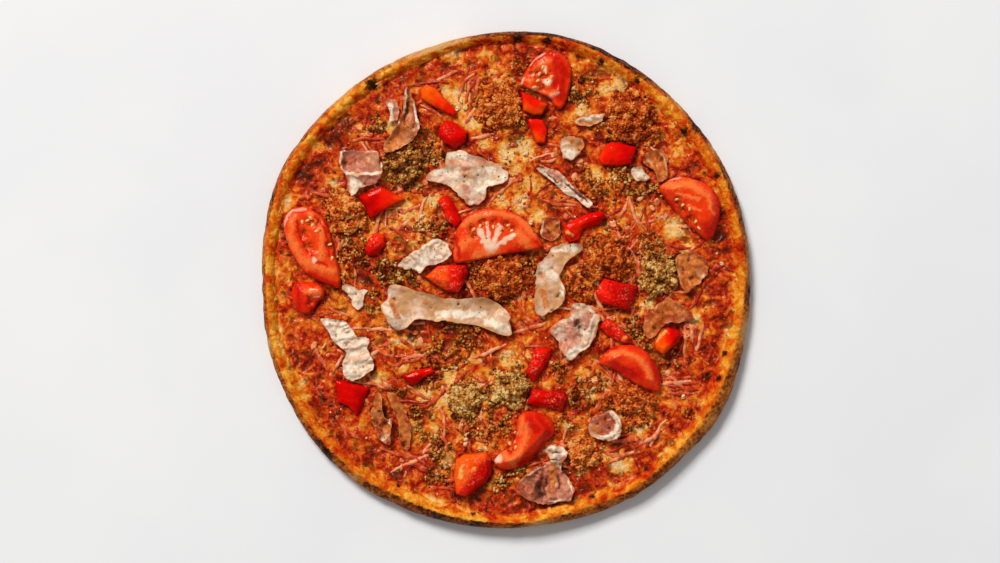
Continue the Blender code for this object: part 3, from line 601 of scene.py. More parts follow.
def lines(x, y, segments):
    # how much each point belongs to soft lines of (x, y, x, y, width); a spot is (x, y, reach)
    total = np.zeros(np.shape(x))
    x, y = x + 0.9 * softNoise(x, y, 3.1, 77, 2), y + 0.9 * softNoise(x, y, 3.1, 78, 2)
    for segment in segments:
        if len(segment) == 3:
            away, width = np.hypot(x - segment[0], y - segment[1]), segment[2]
        else:
            ax, ay, bx, by, width = segment[:5]
            dx, dy = bx - ax, by - ay
            share = np.clip(((x - ax) * dx + (y - ay) * dy) / (dx * dx + dy * dy), 0, 1)
            away = np.hypot(x - ax - share * dx, y - ay - share * dy)
        total = np.maximum(total, np.exp(-((away / width) ** 2)))
    return total


def placeOutlines():
    tables = {**tomatoSlices, **pepperPieces, **meatPieces}
    order = [n for n in tables if n not in lowSide] + [n for n in tables if n in lowSide]
    placed = {}
    for name in order:
        placed[name] = giveWay(smoothLoop(tables[name]["outline"], 2), list(placed.values()), 0.8)
    return placed


toppingGap = 0.35
outlines = {}
topSurfaces = {}  # piece name to its top points, for crumbs and herbs that lie on it


def toppingWave(name, x, y, lift, waveLength):
    # the same slow waves that the solid of this piece has
    phase = 7.0 * (sum(map(ord, name)) % 13)
    flat = [noise.noise(Vector(((a + phase) / waveLength, b / waveLength, phase))) for a, b in zip(x, y)]
    return lift * np.clip(0.45 + 0.9 * np.array(flat), 0, 1)


def spreadTopping(name, look, spacing, ragged, seed, waveLength, straight=False):
    # the filled outline of a topping, with a ragged edge or a knife's straight cuts, and its low side
    corners = [tuple(p) for p in outlines[name]]
    loop = densify(corners[::2] if straight else smoothLoop(corners, 3), spacing)
    middle = loop.mean(axis=0)
    shake = softNoise(loop[:, 0], loop[:, 1], 3.2, seed, 2) * ragged - 0.5 * ragged
    out = loop - middle
    loop = middle + out * (1 + shake / np.maximum(np.hypot(*out.T), 4))[:, None]
    points, triangles = fillLoop(loop, spacing, seed)
    x, y = points.T
    depth = np.maximum(edgeDistance(loop, x, y), 0)
    depth[:len(loop)] = 0
    low = cheeseHeight(x, y) + toppingGap + toppingWave(name, x, y, look["body"][2], waveLength)
    return (points, triangles, len(loop)), x, y, depth, low


def roundedEdge(depth, width):
    # 0 at the edge and 1 further in, as a quarter of a circle
    return np.sqrt(np.clip(1 - (1 - np.clip(depth / width, 0, 1)) ** 2, 0, 1))


def finishTopping(obj, name, x, y, high):
    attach(obj, "root")
    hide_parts(name)
    topSurfaces[name] = (x, y, high)


# tomatoes

tomatoSlices = {
    "tomato_1": {
        "outline": ((8.5, 119.5), (11, 127), (15, 133.5), (21, 138.5), (29, 140.5), (36, 137), (39.5, 129),
            (39, 119), (36.5, 110), (32.5, 105), (28.5, 107.5), (26.5, 111), (17, 116)),
        "body": (6, 0.75, 1), "flesh": 0.22,
        "light": ((14, 122, 18, 130, 2.2), (18, 130, 26, 134, 1.8), (25, 119, 30, 126, 2.2),
            (14, 117, 24, 113, 2.5), (26, 113, 33, 117, 1.8)),
        "gel": ((17, 127, 4.5), (22, 124, 4), (21, 118, 3)),
        "core": ((25, 121, 3), (17, 117, 2.2), (23, 129, 2)),
        "skin": ((12, 131, 20, 137, 1.8), (20, 138, 30, 139, 2), (31, 134, 35, 126, 4),
            (34, 122, 33, 112, 3), (30, 128, 30, 118, 3)),
        "seeds": ((20, 126, 70), (19, 122, 30), (24, 127, 100), (22, 130, 60), (17, 118, 10),
            (27, 124, 80)),
        "rind": ((7.5, 114, 10, 124, 1.1), (11, 129, 16, 135, 1), (16, 135, 23, 139, 1),
            (25, 111.5, 32, 114, 1.3)),
    },
    "tomato_2": {
        "outline": ((-136, 34), (-134, 41), (-129, 45), (-122, 45), (-114, 41), (-108, 32), (-105, 20),
            (-102, 8), (-101, 0), (-102, -4), (-107, -3), (-113, -0.5), (-121, 4), (-128, 12), (-133, 22)),
        "body": (6.5, 0.75, 0.8), "flesh": 0.45,
        "light": ((-129, 38, -131, 27, 2.6), (-131, 27, -125, 14, 2.8), (-125, 14, -117, 9, 2.8),
            (-117, 9, -106, 7, 2.8), (-119, 41, -112, 33, 2.4), (-112, 33, -112, 18, 2.6),
            (-112, 18, -115, 10, 2.6)),
        "gel": ((-123, 29, 3), (-120, 21, 3.2), (-119, 36, 3.2), (-114.5, 35, 2.4), (-107, 22, 2)),
        "core": ((-117, 13, 2.2),),
        "skin": ((-127, 37, -125, 26, 1.1), (-125, 26, -119, 15, 1.1), (-119, 15, -109, 9, 1.1),
            (-116, 40, -109.5, 30, 1), (-109.5, 30, -107, 14, 1), (-106, 36, -104, 16, 1.8),
            (-110, 40, -108, 30, 1.6), (-112, 0, -103, -2, 2.4), (-120, 4, -112, 1, 2)),
        "seeds": ((-121, 37, 20), (-118, 34, 70), (-115.5, 30.5, 15), (-124, 36, 100), (-107.5, 22.5, 20),
            (-106, 14, 80), (-119, 38.5, 130)),
        "rind": ((-135.5, 34, -131, 43, 1.3), (-131, 43, -123, 44.5, 1.4), (-136, 30, -133, 22, 1)),
    },
    "tomato_3": {
        "outline": ((-31.5, 11.5), (-32, 22), (-31, 30), (-26, 38), (-18, 43), (-8, 44.5), (3, 42.5),
            (11, 38.5), (17, 31), (22, 21), (12, 18.5), (-5, 15.5), (-18, 13)),
        "body": (6.5, 0.8, 1.2), "flesh": 0.35,
        "light": ((-26, 34, -17, 40, 2.4), (-17, 40, -4, 41.5, 2.4), (-4, 41.5, 8, 38, 2.4),
            (8, 38, 16, 29, 2.4), (-29, 20, -22, 26, 4), (8, 29, 12, 23, 4), (-18, 16, -8, 18, 4)),
        "gel": ((-22, 33, 2.6), (-15, 35.5, 2.4), (-7.5, 36, 2), (0, 34.5, 2.6), (-20, 28, 3),
            (4, 32, 2.6)),
        "core": ((-10, 20, -17, 31, 2.2), (-10, 20, -11.5, 34, 1.8), (-9, 20, -4, 33.5, 1.9),
            (-8, 20, 4, 28, 1.8), (-10, 21, 4.4), (-15, 24, 2)),
        "skin": ((2, 18.5, 9, 20, 2), (-28, 15, -31, 26, 1.6), (18, 24, 21, 21, 1.6), (3, 43, 12, 38, 1.2)),
        "seeds": ((-16, 33.5, 75), (-8, 33, 95), (-3.5, 31.8, 70), (3, 30.8, 35), (1, 34, 20),
            (-12, 35, 100), (-20, 31.5, 50)),
    },
    "tomato_4": {
        "outline": ((93, 57), (97, 61), (105, 64), (115, 62.5), (124, 58), (130, 50), (130, 40), (127, 30),
            (123, 25), (117, 29), (109, 36), (101, 45), (96, 51)),
        "body": (8.5, 0.45, 0.6), "flesh": 0.3,
        "light": ((97, 58, 112, 59.5, 3.4), (112, 59, 122, 52, 2.8), (104, 53, 116, 50, 1.6),
            (122, 52, 125.5, 41, 1.4), (110, 46, 118, 43, 1.2)),
        "gel": ((107, 44, 3.4), (112, 38, 3.2), (104, 49, 2.6)),
        "skin": ((127, 55, 130, 45, 2.2), (129, 40, 124, 29, 2.4), (95, 52, 102, 46, 1.8),
            (121, 35, 122, 28, 2.6)),
        "seeds": ((115, 36.5, 60), (117, 32.5, 120), (107, 46.5, 40), (111, 44, 80), (103.5, 50, 30)),
        "rind": ((96, 61, 106, 64, 1), (116, 63, 124, 59, 1)),
    },
    "tomato_5": {
        "outline": ((56.5, -50), (60, -43), (67, -39), (75, -38.5), (83, -41), (89, -47), (93.5, -56),
            (94, -66), (91, -67.5), (83, -65), (74, -60), (65, -54)),
        "body": (8, 0.45, 0.6), "flesh": 0.16,
        "light": ((62, -44, 72, -43, 2.2), (72, -43, 82, -48, 2.2), (82, -48, 88, -58, 2.6)),
        "skin": ((66, -53, 80, -56, 4), (89, -48, 93, -62, 2), (60, -43, 67, -40, 1.5)),
    },
    "tomato_6": {
        "outline": ((9, -80.5), (15, -79), (22, -80.5), (28, -86), (29.5, -92), (24.5, -98), (17.5, -106),
            (10, -112), (1, -115), (-6, -113), (-7.5, -109), (-3, -104), (3, -100), (6, -93), (6, -86)),
        "body": (9, 0.4, 0.5), "flesh": 0.2,
        "light": ((13, -86, 11, -97, 2.6), (11, -97, 5, -107, 2.6), (8, -92, 10, -84, 2),
            (-2, -104, 4, -110, 3)),
        "gel": ((3, -102, 2.8),), "core": ((-5, -107, 3.2),),
        "skin": ((19, -82, 26, -90, 2.6), (26, -90, 22, -102, 3), (22, -102, 8, -111, 2),
            (14, -83, 19, -90, 3)),
        "seeds": ((5.5, -101, 60), (2, -99, 120)), "rind": ((4, -98, 6, -92, 1),),
    },
    "tomato_7": {
        "outline": ((-129, -1), (-121, 0), (-113, -2.5), (-111, -8), (-116, -14), (-120, -20), (-127, -18),
            (-131, -9)),
        "body": (7, 0.55, 0.6), "flesh": 0.1, "light": ((-121, -6, -114, -7, 2.6),),
        "gel": ((-119, -12, 2.2),),
        "core": ((-119, -5, -115, -5.5, 0.7), (-117, -9, -114, -9, 0.6)),
        "skin": ((-127, -3, -126, -15, 2.4), (-120, -9, -119, -18, 1.6)),
    },
}


def makeTomatoFinish():
    tomato = Finish("cutTomato", {
        "Roughness": 0.26, "Coat Weight": 0.08, "Coat Roughness": 0.1, "Subsurface Weight": 0.12,
        "Subsurface Radius": (1.0, 0.25, 0.1), "Specular IOR Level": 0.24,
        "Specular Tint": (1.0, 0.4, 0.28, 1.0)})
    fine, mid, fibres = tomato.grain(1.6, 4), tomato.grain(6, 3, 0.5, 1.2), tomato.grain(2.6, 3, 0.6, 2.0)
    tomato.colour = tomato.mix(tomato.field("flesh"), (232, 30, 3), (250, 84, 20))
    tomato.over(mid, 0.4, 0.65, 0.5, (246, 60, 9))
    pale = tomato.wobble(tomato.field("light"), fibres, 0.25, 0.35, 0.65)
    tomato.over(pale, 0.0, 1.15, 0.9, (255, 122, 54))
    tomato.over(tomato.field("skin"), 0.0, 1.0, 0.95, (204, 14, 3))
    wet = tomato.mix(tomato.between(fine, 0.4, 0.62), (150, 20, 4), (222, 84, 20))
    tomato.over(tomato.wobble(tomato.field("gel"), fibres, 0.2, 0.35, 0.65), 0.3, 0.75, 0.9, wet)
    tomato.over(tomato.field("core"), 0.3, 0.9, 0.92, (250, 208, 172))
    # pale pink lines along the lit edges: partly pale skin edge, partly painted highlight
    tomato.over(tomato.field("rind"), 0.3, 0.8, 0.9, (248, 160, 132))
    tomato.over(fine, 0.58, 0.78, 0.25, (255, 140, 90))
    tomato.drive("Roughness", tomato.between(fine, 0.3, 0.7, 0.12, 0.34))
    return tomato.done(tomato.add(fine, mid), 0.35, 0.6)


def makeTomatoes():
    finish = makeTomatoFinish()
    seeds = []
    for number, (name, look) in enumerate(tomatoSlices.items(), 1):
        sheet, x, y, depth, low = spreadTopping(name, look, 0.75, 0.25, 60 + number, 30.0)
        thickness, edgeShare, _ = look["body"]
        rounded = roundedEdge(depth, 1.3)
        share = np.minimum(1, edgeShare + (1 - edgeShare) * np.clip(depth / 6.0, 0, 1))
        # the pale edge lines are partly painted highlight
        fields = {key: lines(x, y, look.get(key, ())) for key in ("light", "gel", "core", "skin", "rind")}
        carved = -2.0 * fields["gel"] + 0.5 * fields["light"] - 0.3 * fields["skin"]
        carved = carved + 0.3 * fields["core"] + 0.5 * fields["rind"] + 0.22 * softNoise(x, y, 2.6, 9, 2)
        high = low + np.maximum(thickness * share * (0.45 + 0.55 * rounded) + carved * rounded - 0.3, 0.8)
        fields["flesh"] = np.clip(look["flesh"] + 0.25 * softNoise(x, y, 7, 12, 2), 0, 1)
        obj = closedSheet(f"tomatoSlice{number}", *sheet, low, high, finish, fields)
        finishTopping(obj, name, x, y, high)
        for sx, sy, turn in look.get("seeds", ()):
            nearest = np.argmin((x - sx) ** 2 + (y - sy) ** 2)
            seeds.append((sx, sy, high[nearest] + 0.15, turn))
    print("tomatoes done")
    return seeds


# peppers

# a piece's pale lines are partly pale flesh, partly painted highlight on the facets towards the light
pepperPieces = {
    "pepper_1": {
        "outline": ((-53, 117), (-49, 120.5), (-43, 118), (-37, 111), (-30, 103.5), (-32, 100.5),
            (-38, 103), (-46, 107), (-52, 111)),
        "body": (5, 0.6, 0.8), "hue": ((-50, 116, 1), (-34, 103, 0.55)),
    },
    "pepper_2": {
        "outline": ((-41, 94), (-37, 98.5), (-31, 97), (-23.5, 91), (-25, 85), (-31, 80.5), (-38, 84),
            (-42, 89)),
        "body": (6, 0.5, 0.8), "hue": ((-34, 96, 0.4), (-30, 83, 0.25)),
        "facets": ((-31, 91, 60, 0.3), (-34, 88, 190, 0.28), (-30, 87, -80, 0.3)),
        "flesh": ((-36, 92, 3.5),),
    },
    "pepper_3": {
        "outline": ((8.5, 116), (16, 113), (25.5, 108), (22, 102), (17, 101), (10, 103.5)),
        "body": (5, 0.6, 3), "hue": ((17, 101, 0.95), (17, 114, 0.45)),
    },
    "pepper_4": {
        "outline": ((12, 99.5), (22, 99), (25, 93), (24, 84), (18, 84), (15, 91)),
        "body": (4, 0.6, 0.4), "hue": ((18, 98, 0.55), (20, 85, 0.72)),
    },
    "pepper_5": {
        "outline": ((55.5, 75), (60, 83.5), (64, 85.5), (72, 84), (79.5, 82), (76.5, 71.5), (68, 70),
            (58, 71)),
        "body": (5.5, 0.6, 1.2), "hue": ((58, 76, 0.6), (78, 78, 0.2)),
        "facets": ((63.5, 77, 175, 0.42), (70, 74.5, -85, 0.25)),
    },
    "pepper_6": {
        "outline": ((-91, 51.5), (-84, 55), (-76.5, 58), (-69, 54), (-61.5, 50), (-69, 46.5), (-76.5, 42),
            (-83.5, 37.5), (-86, 44.5)),
        "body": (5, 0.6, 1.6), "hue": ((-86, 45, 0.1), (-66, 52, 0.8)),
        "facets": ((-80, 47, 205, 0.22), (-72, 50, 10, 0.16)),
    },
    "pepper_7": {
        "outline": ((-42.5, 49), (-38.5, 53), (-34, 51), (-29, 42), (-26, 36), (-31, 32.5), (-35.5, 36),
            (-39, 43)),
        "body": (4.8, 0.6, 0.8), "hue": ((-38, 42, 0.6), (-31, 42, 0.3)), "facets": ((-34.5, 42, 25, 0.4),),
        "flesh": ((-39, 46, 3), (-36, 38, 3)),
    },
    "pepper_8": {
        "outline": ((-50, 3), (-42, 9.5), (-33, 10.5), (-24, 10.5), (-23, 6), (-26, -2), (-28.5, -7),
            (-34.5, -7), (-44, -2)),
        "body": (7, 0.6, 1.6), "hue": ((-40, 4, 0.85), (-26, 2, 0.2)),
        "facets": ((-29.5, 3, 10, 0.55), (-38, 4, 150, 0.18), (-36, 0, -120, 0.3)),
        "flesh": ((-38, 3, 9), (-33, -2, 5)),
    },
    "pepper_9": {
        "outline": ((34, 34), (40, 37.5), (50, 42), (59, 43), (61, 39.5), (56, 35), (47, 32), (44, 25),
            (38, 23.5), (35, 28)),
        "body": (5, 0.55, 1.4), "hue": ((40, 32, 0.55), (55, 38, 0.3)),
        "facets": ((47, 35.5, -65, 0.4), (40, 30, 215, 0.3)), "flesh": ((38, 29, 3),),
        "pale": ((37, 31, 40, 28, 1.0),),
    },
    "pepper_10": {
        "outline": ((54, -7), (59, 2.5), (65, 1), (73, -1), (80.5, -3), (78, -11), (74.5, -18), (66, -16),
            (57, -13)),
        "body": (6, 0.6, 1.6), "hue": ((57, -7, 0.5), (68, -5, 0.15)),
        "facets": ((63, -6, 170, 0.32), (69.5, -8, -20, 0.28)), "flesh": ((58, -5, 5), (72, -9, 5)),
    },
    "pepper_11": {
        "outline": ((56.5, -28), (60, -22), (65, -24), (71, -30), (76.5, -35), (73, -38), (67, -36.5),
            (61, -33)),
        "body": (5, 0.6, 1), "hue": ((60, -26, 0.5), (72, -36, 0.5)),
        "facets": ((65, -30, 235, 0.4), (69, -32, -30, 0.15)),
        "flesh": ((62, -27, 4), (67, -31, 4), (73, -36, 3)), "pale": ((70, -36, 73, -34, 0.9),),
    },
    "pepper_12": {
        "outline": ((17.5, -40), (28, -40.5), (26.5, -47), (21, -56), (17, -62), (11.5, -56), (14.5, -48)),
        "body": (5.5, 0.6, 1.2), "hue": ((20, -43, 0.5), (18, -58, 0.1)),
        "facets": ((20.5, -50, -20, 0.4), (17, -52, 165, 0.15)), "flesh": ((18, -45, 4), (17, -52, 3)),
    },
    "pepper_13": {
        "outline": ((15.5, -65), (26, -66.5), (36, -67), (37.5, -71), (34, -79), (24, -77), (12.5, -74.5)),
        "body": (6.5, 0.6, 1.4), "hue": ((15, -70, 0.3), (33, -72, 0.15)),
        "facets": ((24, -70, -84, 0.32), (29, -73, 10, 0.2)), "flesh": ((29, -74, 5), (17, -68, 2.5)),
    },
    "pepper_14": {
        "outline": ((-64.5, -57), (-55, -54), (-45, -52), (-43.5, -55), (-50, -59), (-57, -63.5),
            (-61, -61)),
        "body": (4.5, 0.6, 1.2), "hue": ((-50, -53, 0.5), (-54, -61, 0)),
    },
    "pepper_15": {
        "outline": ((-105, -59.5), (-98, -60.5), (-90, -62.5), (-83.5, -65), (-87, -74), (-91, -82.5),
            (-96, -77), (-103, -74)),
        "body": (4.5, 0.6, 1.6), "hue": ((-100, -62, 0.25), (-90, -78, 0.15)),
        "facets": ((-92, -68, -25, 0.3), (-98, -70, 225, 0.12)),
    },
    "pepper_16": {
        "outline": ((-31, -108), (-26, -105), (-12, -103.5), (-9, -107), (-9, -118), (-13, -123),
            (-24, -131), (-31, -130), (-32.5, -118)),
        "body": (9.5, 0.6, 1.4), "hue": ((-26, -112, 1.05), (-12, -124, 0.1)),
        "facets": ((-21, -117, -40, 0.5), (-27, -117, 185, 0.35)),
        "flesh": ((-24, -116, 8), (-16, -108, 4)),
        "pale": ((-28, -118, -27, -112, 1.5), (-24, -108, 1.6), (-20, -113, 1.2)),
    },
    "pepper_17": {
        "outline": ((89.5, -38), (93, -31), (98, -27.5), (104.5, -29), (107.5, -33), (103, -39), (95, -45),
            (91, -42)),
        "body": (8, 0.55, 0.8), "hue": ((94, -36, 0.95), (103, -34, 0.2)),
        "facets": ((97, -36, 150, 0.3), (101, -36, -30, 0.4)), "pale": ((92, -36, 96, -30, 1.2),),
    },
    "pepper_18": {
        "outline": ((-86.5, 18), (-85, 25), (-79, 30.5), (-74, 28), (-74, 22), (-79, 15.5), (-84, 15.5)),
        "body": (5, 0.5, 0.6), "hue": ((-77, 28, 0.7), (-81, 17, 0.3)), "facets": ((-79, 21, -50, 0.35),),
        "flesh": ((-81, 24, 3.5),),
    },
}


def makePepperFinish():
    skin = Finish("redPepper", {
        "Roughness": 0.22, "Coat Weight": 0.06, "Coat Roughness": 0.1, "Subsurface Weight": 0.06,
        "Subsurface Radius": (1.0, 0.2, 0.05), "Specular IOR Level": 0.18,
        "Specular Tint": (1.0, 0.22, 0.14, 1.0)})
    fine, mid = skin.grain(1.3, 4, 0.6), skin.grain(7, 3)
    hue = skin.wobble(skin.field("hue"), mid, 0.12)
    skin.colour = skin.ramp(hue, (0.0, 178, 2, 1), (0.35, 228, 5, 2), (0.65, 246, 30, 4), (1.0, 255, 92, 8))
    rough = skin.field("inside")
    # painted glints: pale pink flecks on the cut flesh stand in for its wet sparkle
    paintedGlint = skin.times(rough, skin.between(fine, 0.5, 0.62))
    paintedGlint = skin.times(paintedGlint, skin.between(skin.grain(4.0, 2), 0.44, 0.58, 0.15, 1.0))
    skin.colour = skin.mix(skin.times(paintedGlint, 0.85), skin.colour, (255, 150, 112))
    # pale cream marks: partly pale flesh, partly painted highlight
    skin.over(skin.wobble(skin.field("pale"), mid, 0.3), 0.25, 0.95, 0.85, (255, 178, 84))
    skin.over(skin.field("wall"), 0.2, 0.9, 0.4, (130, 2, 1))
    skin.drive("Roughness", skin.between(rough, 0.2, 0.8, 0.12, 0.3))
    height = skin.add(skin.times(fine, skin.add(rough, 0.08)), skin.times(mid, 0.5))
    return skin.done(height, 1.1, 0.7)


def makePeppers():
    finish = makePepperFinish()
    for number, (name, look) in enumerate(pepperPieces.items(), 1):
        sheet, x, y, depth, low = spreadTopping(name, look, 0.7, 0.25, 80 + number, 26.0, straight=True)
        thickness, edgeShare, _ = look["body"]
        rounded = roundedEdge(depth, 0.7)
        share = np.minimum(1, edgeShare + 0.12 + (0.88 - edgeShare) * np.clip(depth / 3.0, 0, 1))
        inside = lines(x, y, look.get("flesh", ()))
        rough = (0.4 * inside + 0.08) * softNoise(x, y, 1.9, 6, 2) + 0.4 * softNoise(x, y, 6.5, 16, 2)
        slope = np.zeros(len(x))
        for fx, fy, heading, drop in look.get("facets", ()):
            aim = math.radians(heading)
            past = (x - fx) * math.cos(aim) + (y - fy) * math.sin(aim)
            slope = np.maximum(slope, drop * np.maximum(past, 0))
        body = np.maximum(thickness * share - slope, 0.35 * thickness) * (0.4 + 0.6 * rounded)
        high = low + np.maximum(body + rough * rounded - 0.25, 0.8)
        (ax, ay, first), (bx, by, last) = look["hue"]
        along = ((x - ax) * (bx - ax) + (y - ay) * (by - ay)) / ((bx - ax) ** 2 + (by - ay) ** 2)
        fields = {
            "hue": first + (last - first) * stepUp(along, 0, 1),
            "inside": inside,
            # pale lines, painted highlight in part
            "pale": lines(x, y, look.get("pale", ())),
            "wall": 1 - stepUp(depth, 0.0, 1.2),
        }
        obj = closedSheet(f"pepperPiece{number}", *sheet, low, high, finish, fields)
        finishTopping(obj, name, x, y, high)
    print("peppers done")


# ham and bacon

